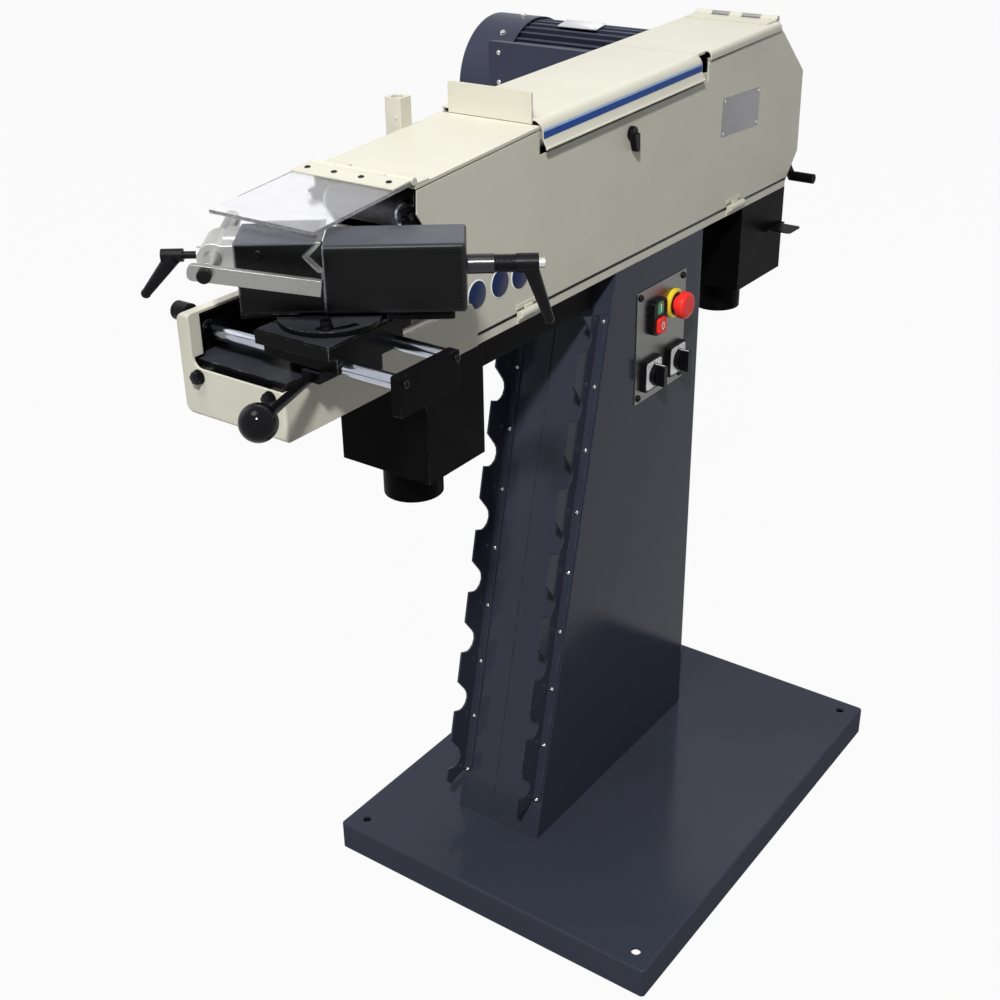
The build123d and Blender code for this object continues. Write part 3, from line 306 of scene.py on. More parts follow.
def enamel(name, tint, rough, peel, worn, gloss, edge=0.0012, dust_and_sheen=0.0, middle=None, rim=0.0,
           scuffed=False):
    """Sprayed paint: cloudy tone, orange peel, handling marks, chipped corners, dust with a painted sheen on
    upper faces.

    With a middle, faces that look towards it get painted shade. A rim paints a highlight on all
    corners. Scuffed paint is dull on upright faces.
    """
    f = Finish(name)
    cloud = f.noise(scale=3.2, detail=4.0, roughness=0.6)
    tone = f.mixed(f.levels(cloud, 0.3, 0.7), shade(tint, 0.94), shade(tint, 1.05))
    specks = f.levels(f.noise(scale=420.0), 0.62, 0.75, 0.0, 0.35)
    tone = f.mixed(specks, tone, shade(tint, 0.72))
    corner, soft = f.edges(edge)
    flakes = f.noise(scale=60.0, detail=5.0, roughness=0.7)
    chips = f.times(corner, f.levels(flakes, 0.50, 0.66, 0.0, worn))
    tone = f.mixed(chips, tone, CHIPPED)
    # Painted highlight along every corner
    if rim:
        highlight_edges, _ = f.edges(edge * 1.6, low=0.004, high=0.060)
        tone = f.mixed(f.times(highlight_edges, rim), tone, EDGE_HIGHLIGHT)
    # Painted shade on the faces that look towards the middle
    if middle:
        tone = f.mixed(inward_shade(f, middle, cloud), tone, INTERIOR_SHADE)
    # Dust and a painted bluish sheen on upper faces
    if dust_and_sheen:
        tone = f.mixed(upper_dust_and_sheen(f, dust_and_sheen), tone, DUST_AND_SHEEN)
    marks = f.noise(scale=9.0, detail=5.0, roughness=0.65, vector=f.stretched((1.0, 0.6, 1.8)))
    smear = f.levels(marks, 0.3, 0.72, rough - 0.06, rough + 0.10)
    if scuffed:
        smear = f.levels(f.part(f.normal(), "Z"), 0.3, 0.8, SCUFFED_ROUGHNESS, smear)
    orange = f.bump(f.noise(scale=peel, detail=1.0), strength=0.12, distance=0.0006, normal=soft)
    return f.wire(Base_Color=tone, Roughness=smear, Normal=orange, Specular_IOR_Level=gloss)


def bare_metal(name, tint, rough, along, wear=0.35, edge=0.0006):
    """Metal with fine lines along one direction, stains and bright corners."""
    f = Finish(name)
    lines = f.noise(scale=900.0, detail=3.0, roughness=0.7, vector=f.stretched(along))
    stain = f.noise(scale=14.0, detail=5.0, roughness=0.6)
    tone = f.mixed(f.levels(lines, 0.3, 0.7), shade(tint, 0.82), shade(tint, 1.08))
    tone = f.mixed(f.levels(stain, 0.52, 0.72, 0.0, wear), tone, shade(tint, 0.55))
    corner, soft = f.edges(edge)
    tone = f.mixed(f.times(corner, 0.5), tone, shade(tint, 1.3))
    gloss = f.levels(lines, 0.2, 0.8, rough - 0.07, rough + 0.12)
    brushed = f.bump(lines, strength=0.10, distance=0.0002, normal=soft)
    return f.wire(Base_Color=tone, Roughness=gloss, Normal=brushed, Metallic=1.0)


def plated(name, tint, rough):
    """Polished plating with faint rings, haze and fingerprints."""
    f = Finish(name)
    haze = f.noise(scale=22.0, detail=5.0, roughness=0.65)
    rings = f.noise(scale=700.0, vector=f.stretched((1.0, 0.05, 0.05)))
    tone = f.mixed(f.levels(haze, 0.4, 0.75), shade(tint, 1.0), shade(tint, 0.85))
    gloss = f.levels(haze, 0.35, 0.75, rough, rough + 0.12)
    ringed = f.bump(rings, strength=0.04, distance=0.0001)
    return f.wire(Base_Color=tone, Roughness=gloss, Normal=ringed, Metallic=1.0)


def moulded(name, tint, rough, grain=1500.0, gloss=0.4):
    """Moulded plastic with a fine grain and lighter worn corners."""
    f = Finish(name)
    cloud = f.noise(scale=25.0, detail=3.0)
    tone = f.mixed(f.levels(cloud, 0.3, 0.7), shade(tint, 0.92), shade(tint, 1.08))
    corner, soft = f.edges(radius=0.0008)
    tone = f.mixed(f.times(corner, 0.25), tone, shade(tuple(c * 0.8 + 0.05 for c in tint), 1.0))
    smear = f.levels(f.noise(scale=40.0, detail=4.0), 0.3, 0.7, rough - 0.05, rough + 0.08)
    fine = f.bump(f.noise(scale=grain), strength=0.08, distance=0.0003, normal=soft)
    return f.wire(Base_Color=tone, Roughness=smear, Normal=fine, Specular_IOR_Level=gloss)


def abrasive(name, tint):
    """Grit on a cloth belt: sharp grains, worn bright tips and darker loaded bands."""
    f = Finish(name)
    grit = f.cells(scale=900.0)
    band = f.noise(scale=6.0, detail=3.0, vector=f.stretched((3.0, 0.4, 0.4)))
    tone = f.mixed(f.levels(grit, 0.15, 0.65), shade(tint, 1.7), shade(tint, 0.55))
    tone = f.mixed(f.levels(band, 0.45, 0.7, 0.0, 0.5), tone, shade(tint, 0.6))
    height = f.plus(f.levels(grit, 0.0, 0.7, 1.0, 0.0), f.noise(scale=2200.0))
    sharp = f.bump(height, strength=0.35, distance=0.0005)
    return f.wire(Base_Color=tone, Roughness=0.45, Normal=sharp)


def clear_sheet(name):
    """Clear sheet with a cold tint, hairline scratches and a dusting of grit."""
    f = Finish(name)
    scratch = f.noise(scale=500.0, detail=3.0, roughness=0.7, vector=f.stretched((1.0, 0.04, 1.0)))
    grime = f.noise(scale=45.0, detail=6.0, roughness=0.7)
    gloss = f.levels(grime, 0.45, 0.8, 0.04, 0.16)
    tone = f.mixed(f.levels(grime, 0.4, 0.8), (0.96, 0.96, 0.98, 1.0), (0.90, 0.90, 0.94, 1.0))
    lines = f.bump(f.levels(scratch, 0.62, 0.75), strength=0.05, distance=0.0002)
    return f.wire(Base_Color=tone, Roughness=gloss, Normal=lines, Transmission_Weight=0.93, IOR=1.49)


def make_finishes(colours):
    """All finishes by name."""
    ivory, stand, black = colours.ivory, colours.stand, colours.black
    return {
        "ivory": enamel("ivory_enamel", ivory, rough=0.40, peel=520.0, worn=0.35, gloss=0.45),
        # The casing's faces that look towards its middle get painted shade
        "casing": enamel("casing_enamel", ivory, rough=0.40, peel=520.0, worn=0.35, gloss=0.45,
                         middle=CASING_MIDDLE),
        "stand": enamel("stand_enamel", stand, rough=0.10, peel=650.0, worn=0.30, gloss=0.08),
        "tray": enamel("tray_enamel", stand, rough=0.10, peel=650.0, worn=0.30, gloss=0.08,
                       scuffed=True),
        "black": enamel("black_enamel", black, rough=0.36, peel=700.0, worn=0.40, gloss=0.02),
        # Castings: painted highlight on every corner (rim), and dust with a painted sheen on upper faces
        "casting": enamel("black_casting", black, rough=0.26, peel=700.0, worn=1.4, gloss=0.12,
                          edge=0.0022, dust_and_sheen=0.75, rim=0.60),
        # Bed: dust with a painted sheen on upper faces
        "bed": enamel("black_bed", black, rough=0.24, peel=700.0, worn=1.0, gloss=0.05,
                      edge=0.0016, dust_and_sheen=0.34),
        "motor": enamel("motor_enamel", colours.motor, rough=0.38, peel=600.0, worn=0.35, gloss=0.14),
        "steel": bare_metal("ground_steel", (0.32, 0.32, 0.31), 0.30, LINES_ALONG_X),
        "dark_steel": bare_metal("turned_dark_steel", (0.045, 0.045, 0.047), 0.20, LINES_ALONG_X),
        "roller": bare_metal("turned_roller", (0.52, 0.55, 0.64), 0.30, LINES_ROUND_X, wear=0.15),
        "stainless": bare_metal("brushed_stainless", (0.155, 0.155, 0.149), 0.28, LONG_LINES_ALONG_Y,
                                wear=0.2),
        "foil": bare_metal("bare_foil", (0.24, 0.24, 0.25), 0.40, LINES_ALONG_Y, wear=0.2),
        "bright_foil": bare_metal("bright_foil", (0.64, 0.64, 0.66), 0.36, LINES_ALONG_Y, wear=0.1),
        "zinc": bare_metal("zinc_casting", (0.50, 0.50, 0.49), 0.42, NO_LINES, wear=0.25, edge=0.0015),
        "aluminium": bare_metal("turned_aluminium", (0.55, 0.55, 0.55), 0.32, LINES_ROUND_X),
        "chrome": plated("chrome_plating", (0.44, 0.47, 0.54), 0.08),
        "screw": plated("zinc_plating", (0.60, 0.60, 0.58), 0.22),
        "oxide": bare_metal("black_oxide", (0.014, 0.014, 0.016), 0.38, NO_LINES, wear=0.2),
        "plastic": moulded("black_plastic", (0.004, 0.004, 0.005), 0.34, gloss=0.10),
        "resin": moulded("black_resin", (0.004, 0.004, 0.005), 0.10, gloss=0.10),
        "white": moulded("white_plastic", (0.94, 0.94, 0.92), 0.36),
        "red": moulded("red_plastic", colours.red, 0.28, gloss=0.12),
        "yellow": moulded("yellow_plastic", colours.yellow, 0.32),
        "green": moulded("green_plastic", colours.green, 0.30),
        "blue": moulded("blue_film", colours.stripe, 0.30, grain=900.0, gloss=0.1),
        "navy": moulded("navy_film", colours.navy, 0.30, grain=900.0, gloss=0.1),
        "film": moulded("pale_film", (0.34, 0.46, 0.65), 0.34, grain=900.0, gloss=0.3),
        "grit": abrasive("abrasive_grit", colours.grain),
        "clear": clear_sheet("clear_sheet"),
    }


# Nodes of the loaded machine, listed under their finish
NODE_FINISHES = {
    "casing": ("head_casing",),
    "ivory": ("front_cover", "side_door", "door_hinge_lower", "door_hinge_upper", "top_lid",
              "lid_hinge_leaf", "shield_leaf", "shield_hinge_fixed", "trough"),
    "stand": ("column", "hook_racks"),
    "tray": ("base_tray",),
    "black": ("side_plates", "hopper_front", "hopper_rear", "damper_slide", "tension_lever", "end_plate"),
    "casting": ("fixed_jaw", "moving_jaw"),
    "bed": ("saddle", "slide_block", "vise_bed"),
    "motor": ("motor_housing", "motor_shields", "fan_cowl", "terminal_box"),
    "steel": ("platen", "wheel_bolt", "motor_rotor", "guide_rods", "v_insert", "stop_rod", "stop_bar",
              "lid_hinge_fixed"),
    "dark_steel": ("clamp_screw",),
    "roller": ("contact_roller",),
    "stainless": ("control_plate",),
    "zinc": ("stop_clamp_block",),
    "aluminium": ("drive_wheel",),
    "chrome": ("cross_bars",),
    "oxide": ("swivel_bolt", "roller_axle"),
    "plastic": ("pushbutton_box", "selector_bases", "selector_knob_front", "selector_knob_rear", "motor_fan",
                "latch_knob", "clamp_lever", "stop_lever"),
    "resin": ("feed_handle", "lock_knob"),
    "red": ("stop_button", "estop_mushroom"),
    "yellow": ("estop_collar",),
    "green": ("start_button",),
    "grit": ("abrasive_belt",),
    "clear": ("spark_shield",),
}

# The finishes, filled by the first operator
FINISHES = {}


# Shapes

def placed(origin, normal, along=UP):
    """Placement with Z out of a face and X along a direction in that face."""
    z = Vector(normal).normalized()
    x = Vector(along) - z * z.dot(Vector(along))
    x = x.normalized() if x.length > MERGE else z.orthogonal().normalized()
    return Matrix.Translation(origin) @ Matrix((x, z.cross(x), z)).transposed().to_4x4()


def as_mesh(bm):
    """Close a bmesh into a mesh that can be stamped."""
    bmesh.ops.remove_doubles(bm, verts=bm.verts, dist=MERGE)
    bmesh.ops.recalc_face_normals(bm, faces=bm.faces)
    mesh = bpy.data.meshes.new("pattern")
    bm.to_mesh(mesh)
    bm.free()
    return mesh


def points_of(geometry):
    """Vertices among the geometry that an operator hands back."""
    return [g for g in geometry if isinstance(g, bmesh.types.BMVert)]


def bevelled(bm, edges, offset, segments):
    """Round some edges off."""
    bmesh.ops.bevel(bm, geom=edges, offset=offset, offset_type="OFFSET", affect="EDGES",
                    segments=segments, profile=0.5, material=-1)


def spun(bm, profile, steps):
    """Spin (radius, height) points round Z."""
    verts = [bm.verts.new((r, 0.0, h)) for r, h in profile]
    edges = [bm.edges.new(pair) for pair in zip(verts, verts[1:])]
    bmesh.ops.spin(bm, geom=verts + edges, cent=(0, 0, 0), axis=UP, angle=math.tau,
                   steps=steps, use_merge=True)
    bmesh.ops.remove_doubles(bm, verts=bm.verts, dist=MERGE)


def turned(profile, steps=32):
    """Turned shape from (radius, height) points."""
    bm = bmesh.new()
    spun(bm, profile, steps)
    return as_mesh(bm)


def socket_screw(radius, height, socket):
    """Round screw head with a hexagon socket."""
    sunk, sixth = 0.0002, math.pi / 3
    bm = bmesh.new()
    spun(bm, [(radius, -sunk), (radius, height * 0.45), (radius * 0.93, height * 0.72),
              (radius * 0.78, height * 0.93), (radius * 0.62, height), (socket, height)], steps=24)
    ring = [v for v in bm.verts if abs(v.co.z - height) < LEVEL and v.co.xy.length < socket * 1.01]
    for v in ring:
        angle = math.atan2(v.co.y, v.co.x) % sixth - sixth / 2
        v.co.xy *= math.cos(sixth / 2) / math.cos(angle)
    edges = [e for e in bm.edges if e.verts[0] in ring and e.verts[1] in ring]
    wall = bmesh.ops.extrude_edge_only(bm, edges=edges)["geom"]
    low = points_of(wall)
    bmesh.ops.translate(bm, verts=low, vec=(0, 0, -height * 0.6))
    rim = [g for g in wall if isinstance(g, bmesh.types.BMEdge) and all(v in low for v in g.verts)]
    bmesh.ops.contextual_create(bm, geom=rim)
    return as_mesh(bm)


def hex_bolt(radius, height):
    """Washer and hexagon head with a chamfered top."""
    washer_radius, washer_height = radius * 1.12, height * 0.2
    bm = bmesh.new()
    spun(bm, [(0.0, 0.0), (washer_radius, 0.0), (washer_radius, washer_height),
              (radius * 0.5, washer_height)], steps=36)
    head = bmesh.ops.create_cone(bm, cap_ends=True, segments=6, radius1=radius, radius2=radius,
                                 depth=height * 0.8, matrix=Matrix.Translation((0, 0, height * 0.6)))["verts"]
    top = {e for v in head for e in v.link_edges if all(w.co.z > height * 0.9 for w in e.verts)}
    bevelled(bm, list(top), offset=radius * 0.14, segments=2)
    return as_mesh(bm)


def rivet(radius, foot, shoulder, crown):
    """Rivet head with a low dome: heights of its foot and shoulder, and of the dome above that."""
    taper, slope_width, flat_height = 0.0001, 0.0008, 0.0002
    top = shoulder + crown
    return turned([(radius, foot), (radius - taper, shoulder), (radius - slope_width, top - flat_height),
                   (0.0, top)], steps=20)


def flat_ring(inner, outer, slant=0.0, steps=32):
    """Ring of film, with a slanting outer edge if asked."""
    return turned([(inner, 0.0), (outer, 0.0), (outer - slant, FILM), (inner, FILM), (inner, 0.0)], steps)


def disc(radius, foot):
    """Thin round plate above a foot height, with a softened rim."""
    rim_width, rim_height = 0.0002, 0.0001
    edge, top = foot + FILM, foot + FILM + rim_height
    return turned([(0.0, foot), (radius, foot), (radius, edge), (radius - rim_width, top), (0.0, top)],
                  steps=48)


def ribbed_sleeve(bore, root, crest, flange, ribs, pitch):
    """Sleeve with a flange at its foot and gripping ribs round it."""
    flange_height, first = 0.0008, 0.0010
    profile = [(bore, 0.0), (flange, 0.0), (flange, flange_height)]
    for i in range(ribs):
        foot = first + pitch * i
        profile += [(root, foot), (root, foot + pitch * 0.3),
                    (crest, foot + pitch * 0.45), (crest, foot + pitch * 0.85)]
    profile.append((bore, first + pitch * ribs))
    return turned(profile, steps=40)


def slab(width, height, thickness, corner, soften=0.0002):
    """Flat plate with rounded corners and a softened upper rim."""
    bm = bmesh.new()
    bmesh.ops.create_cube(bm, size=1.0, matrix=Matrix.Translation((0, 0, thickness / 2)) @
                          Matrix.Diagonal((width, height, thickness, 1.0)))
    upright = [e for e in bm.edges if abs(e.verts[0].co.z - e.verts[1].co.z) > thickness / 2]
    bevelled(bm, upright, offset=corner, segments=6)
    rim = [e for e in bm.edges if all(abs(v.co.z - thickness) < LEVEL for v in e.verts)]
    bevelled(bm, rim, offset=min(soften, thickness / 2), segments=2)
    return as_mesh(bm)


def pierced_square(size, hole, thickness):
    """Square plate with rounded corners round a circular hole."""
    squareness, segments = 10, 64
    bm = bmesh.new()
    outer = bmesh.ops.create_circle(bm, cap_ends=False, segments=segments, radius=size / 2)["verts"]
    for v in outer:
        reach = (abs(v.co.x) ** squareness + abs(v.co.y) ** squareness) ** (1 / squareness)
        v.co.xy *= size / 2 / reach
    bmesh.ops.create_circle(bm, cap_ends=False, segments=segments, radius=hole)
    faces = bmesh.ops.bridge_loops(bm, edges=bm.edges[:])["faces"]
    top = bmesh.ops.extrude_face_region(bm, geom=faces)["geom"]
    bmesh.ops.translate(bm, verts=points_of(top), vec=(0, 0, thickness))
    return as_mesh(bm)


def figure(text, size, thickness):
    """Raised figure, such as a digit on a switch."""
    curve = bpy.data.curves.new("figure", "FONT")
    curve.body, curve.size, curve.extrude = text, size, thickness / 2
    curve.align_x, curve.align_y = "CENTER", "CENTER"
    holder = bpy.data.objects.new("figure", curve)
    mesh = bpy.data.meshes.new_from_object(holder)
    bpy.data.objects.remove(holder)
    bpy.data.curves.remove(curve)
    mesh.transform(Matrix.Translation((0, 0, thickness / 2)))
    return mesh


def stamp(bm, pattern, places):
    """Copies of a pattern at several placements; the pattern is used up."""
    for where in places:
        copy = pattern.copy()
        copy.transform(where)
        bm.from_mesh(copy)
        bpy.data.meshes.remove(copy)
    bpy.data.meshes.remove(pattern)
    return bm


def add_piece(name, bm, body, finish, sharp=math.radians(38)):
    """Hand a finished bmesh over as a piece that rides on a body."""
    for face in bm.faces:
        face.smooth = True
    for edge in bm.edges:
        edge.smooth = len(edge.link_faces) == 2 and edge.calc_face_angle(0.0) < sharp
    mesh = bpy.data.meshes.new(name)
    bm.to_mesh(mesh)
    bm.free()
    mesh.materials.append(FINISHES[finish])
    piece = bpy.data.objects.new(name, mesh)
    bpy.context.scene.collection.objects.link(piece)
    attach(piece, body)


def add_copies(name, pattern, places, body, finish):
    """Hand copies of a pattern over as one piece."""
    add_piece(name, stamp(bmesh.new(), pattern, places), body, finish)


# Places

def on_column(x, z, out):
    """Point on the column's sloping front at a height, a little way out from it."""
    span = math.hypot(1.0, COLUMN_LEAN)
    y = COLUMN_FOOT.y + COLUMN_LEAN * (z - COLUMN_FOOT.z)
    return Vector((x, y - out / span, z + out * COLUMN_LEAN / span))


def on_vise(along, across, height):
    """Point of the turned vise from distances along the clamp, along the tube and up."""
    return VISE_ORIGIN + VISE_ALONG * along + VISE_ACROSS * across + UP * height


def round_motor(degrees):
    """Direction out of the motor's axis, turned back from straight up."""
    angle = math.radians(degrees)
    return Vector((0.0, math.sin(angle), math.cos(angle)))


def right_middle(node):
    """Middle of a node's right-hand face."""
    low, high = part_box(node)
    return Vector((high.x, (low.y + high.y) / 2, (low.z + high.z) / 2))


def corners(place, across, up):
    """Four placements round the middle of a plate."""
    return [place @ Matrix.Translation((x, y, 0)) for x in (-across, across) for y in (-up, up)]


# Operators

class GRINDER_OT_finish_frame(bpy.types.Operator):
    """Give every part of the loaded machine its finish."""

    bl_idname = "grinder.finish_frame"
    bl_label = "Finish Frame"

    def execute(self, context):
        FINISHES.update(make_finishes(context.scene.grinder_colours))
        for finish, names in NODE_FINISHES.items():
            for name in names:
                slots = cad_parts[name].data.materials
                slots.clear()
                slots.append(FINISHES[finish])
        return {"FINISHED"}


class GRINDER_OT_rack_screws(bpy.types.Operator):
    """Screws that hold the hook racks to the column."""

    bl_idname = "grinder.rack_screws"
    bl_label = "Rack Screws"

    def execute(self, context):
        sizes = context.scene.grinder_sizes
        rows = (-0.1415, -0.0078)
        low, high, flange = 0.115, 0.850, 0.003
        step = (high - low) / (sizes.rack_screws - 1)
        places = [placed(on_column(x, low + step * i, flange), (0.0, -1.0, COLUMN_LEAN))
                  for x in rows for i in range(sizes.rack_screws)]
        head = socket_screw(sizes.rack_screw, height=0.0022, socket=0.0014)
        add_copies("rack_screws", head, places, "frame", "screw")
        return {"FINISHED"}


class GRINDER_OT_control_screws(bpy.types.Operator):
    """Black screws in the corners of the control plate."""

    bl_idname = "grinder.control_screws"
    bl_label = "Control Plate Screws"

    def execute(self, context):
        low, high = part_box("control_plate")
        inset = 0.009
        places = [placed((PLATE_FACE, y, z), RIGHT) for y in (low.y + inset, high.y - inset)
                  for z in (low.z + inset, high.z - inset)]
        head = socket_screw(context.scene.grinder_sizes.plate_screw, height=0.0034, socket=0.0022)
        add_copies("control_plate_screws", head, places, "frame", "oxide")
        return {"FINISHED"}


class GRINDER_OT_switch_faces(bpy.types.Operator):
    """White faces, digits and pointer lines of the two rotary switches."""

    bl_idname = "grinder.switch_faces"
    bl_label = "Switch Faces"

    def execute(self, context):
        size = context.scene.grinder_sizes.switch_face
        knobs = {name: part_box("selector_knob_" + name) for name in ("front", "rear")}
        middles = [(low + high) / 2 for low, high in knobs.values()]
        plate = pierced_square(size, hole=0.0088, thickness=0.00022)
        faces = [placed((SWITCH_FACE, m.y, m.z), RIGHT) for m in middles]
        add_copies("switch_faces", plate, faces, "frame", "white")
        self.digits(middles)
        for name, (low, high) in knobs.items():
            self.pointer(name, high.x, (low.y + high.y) / 2, high.z)
        return {"FINISHED"}

    def digits(self, middles):
        """Three digits round the upper half of each face."""
        lift = 0.0002
        bm = bmesh.new()
        for text, y, z in (("1", -0.0165, 0.0160), ("0", 0.0, 0.0183), ("2", 0.0165, 0.0160)):
            places = [placed((SWITCH_FACE + lift, m.y + y, m.z + z), RIGHT, BACK) for m in middles]
            stamp(bm, figure(text, size=0.0058, thickness=0.00012), places)
        add_piece("switch_digits", bm, "frame", "plastic")

    def pointer(self, name, end, y, top):
        """White line along the top of a knob, back from its end."""
        line = slab(width=0.0165, height=0.0022, thickness=FILM, corner=0.0004)
        setback = 0.0100
        place = placed((end - setback, y, top), UP, RIGHT)
        add_copies("switch_pointer_" + name, line, [place], "selector_" + name, "white")


class GRINDER_OT_button_marks(bpy.types.Operator):
    """Marks on the two push buttons and the black seal of the mushroom head."""

    bl_idname = "grinder.button_marks"
    bl_label = "Button Marks"

    def execute(self, context):
        bar = slab(width=0.0026, height=0.0120, thickness=FILM, corner=0.0004)
        place = placed(right_middle("start_button"), RIGHT, BACK)
        add_copies("start_mark", bar, [place], "start_button", "white")
        narrow = 0.72
        ring = flat_ring(inner=0.0038, outer=0.0062)
        ring.transform(Matrix.Diagonal((narrow, 1.0, 1.0, 1.0)))
        place = placed(right_middle("stop_button"), RIGHT, BACK)
        add_copies("stop_mark", ring, [place], "stop_button", "white")
        seal = flat_ring(inner=0.0126, outer=0.0178, slant=0.0003, steps=48)
        place = placed(right_middle("estop_collar"), RIGHT)
        add_copies("mushroom_seal", seal, [place], "frame", "plastic")
        return {"FINISHED"}


class GRINDER_OT_lid_trim(bpy.types.Operator):
    """Blue stripe with a pale border along the lid's upright lip, and the hem at its foot."""

    bl_idname = "grinder.lid_trim"
    bl_label = "Lid Trim"

    def execute(self, context):
        sizes = context.scene.grinder_sizes
        stripe_foot = 0.0229
        stripe_top = stripe_foot - sizes.stripe
        self.strip("lid_stripe", stripe_foot, stripe_top, "blue")
        self.strip("lid_stripe_border", stripe_top, stripe_top - sizes.stripe_border, "film")
        self.hem(sizes.hem)
        return {"FINISHED"}

    def sweep(self, bm, geometry, run):
        """Move new geometry back along the lid's slope."""
        bmesh.ops.translate(bm, verts=points_of(geometry), vec=(0.0, run, run * LID_SLOPE))
        bmesh.ops.recalc_face_normals(bm, faces=bm.faces)

    def hem(self, radius):
        """Round hem along the foot of the lip, closed at both ends."""
        inset = 0.0008
        level = LID_LEVEL + LID_SLOPE * LID_FRONT - LID_FOOT_DEPTH
        start = placed((LID_FOOT_X - inset, LID_FRONT, level + inset), FRONT)
        bm = bmesh.new()
        ring = bmesh.ops.create_circle(bm, cap_ends=True, segments=20, radius=radius, matrix=start)
        faces = {f for v in ring["verts"] for f in v.link_faces}
        swept = bmesh.ops.extrude_face_region(bm, geom=list(faces), use_keep_orig=True)["geom"]
        self.sweep(bm, swept, LID_SEAM - LID_FRONT)
        add_piece("lid_hem", bm, "lid", "ivory")

    def strip(self, name, low, high, finish):
        """Thin film over the lip and the lower part of its bend, between two depths below the top."""
        front_gap, seam_gap, out, steps = 0.0008, 0.0006, 0.00005, 8
        start, end = LID_FRONT + front_gap, LID_SEAM - seam_gap
        bm = bmesh.new()
        verts = []
        for i in range(steps + 1):
            depth = low + (high - low) * i / steps
            rise = max(0.0, LID_BEND - depth)
            x = LID_FACE - LID_BEND + math.sqrt(LID_BEND ** 2 - rise ** 2) + out
            verts.append(bm.verts.new((x, start, LID_LEVEL + LID_SLOPE * start - depth)))
        edges = [bm.edges.new(pair) for pair in zip(verts, verts[1:])]
        self.sweep(bm, bmesh.ops.extrude_edge_only(bm, edges=edges)["geom"], end - start)
        if bm.faces[:][0].normal.x < 0:
            bmesh.ops.reverse_faces(bm, faces=bm.faces)
        bmesh.ops.solidify(bm, geom=bm.faces[:], thickness=-FILM)
        bmesh.ops.recalc_face_normals(bm, faces=bm.faces)
        add_piece(name, bm, "lid", finish)


class GRINDER_OT_door_plates(bpy.types.Operator):
    """Bare plate with rivets and three plain round plates on the side door, and a painted shade line under
    it.
    """

    bl_idname = "grinder.door_plates"
    bl_label = "Door Plates"

    def execute(self, context):
        sizes = context.scene.grinder_sizes
        self.round_plates(sizes.round_plate)
        self.bare_plate()
        # Painted shade line along the gap under the door
        self.seal(sizes.seal)
        return {"FINISHED"}

    def round_plates(self, radius):
        """Navy discs with white rims."""
        spots = [placed((DOOR_FACE, y, z), RIGHT)
                 for y, z in ((-0.3584, 0.9818), (-0.3108, 0.9832), (-0.2679, 0.9813))]
        inner = radius * 0.91
        add_copies("round_plate_rims", disc(radius, foot=0.0), spots, "side_door", "white")
        add_copies("round_plates", disc(inner, foot=FILM), spots, "side_door", "navy")

    def bare_plate(self):
        """Foil plate at a slight tilt, with a rivet in each corner."""
        tilt = (0, 1, -0.03)
        place = placed((DOOR_FACE, 0.316, 1.073), RIGHT, tilt)
        plate = slab(width=0.119, height=0.057, thickness=0.0007, corner=0.0025)
        add_copies("bare_plate", plate, [place], "side_door", "foil")
        head = rivet(radius=0.0022, foot=0.0005, shoulder=0.0010, crown=0.0006)
        spots = corners(place, across=0.055, up=0.024)
        add_copies("bare_plate_rivets", head, spots, "side_door", "screw")

    def seal(self, height):
        """Painted shade line along the sheet under the door, where the gap under the door lies in shade."""
        start, end, top = -0.359, 0.491, 0.9322
        strip = slab(end - start, height, thickness=FILM, corner=0.0004, soften=0.0001)
        place = placed((SHEET_FACE, (start + end) / 2, top - height / 2), RIGHT, BACK)
        add_copies("door_seal", strip, [place], "frame", "plastic")


class GRINDER_OT_shield_screws(bpy.types.Operator):
    """Dark screws that hold the clear shield to its hinge leaf."""

    bl_idname = "grinder.shield_screws"
    bl_label = "Shield Screws"

    def execute(self, context):
        row, leaf = -0.489, 0.002
        top = SHIELD_LEVEL + SHIELD_SLOPE * (row - SHIELD_FRONT) + leaf
        places = [placed((x, row, top), (0, -SHIELD_SLOPE, 1)) for x in (-0.138, -0.098, -0.058, -0.018)]
        head = socket_screw(radius=0.0036, height=0.0014, socket=0.0014)
        add_copies("shield_screws", head, places, "shield", "oxide")
        return {"FINISHED"}


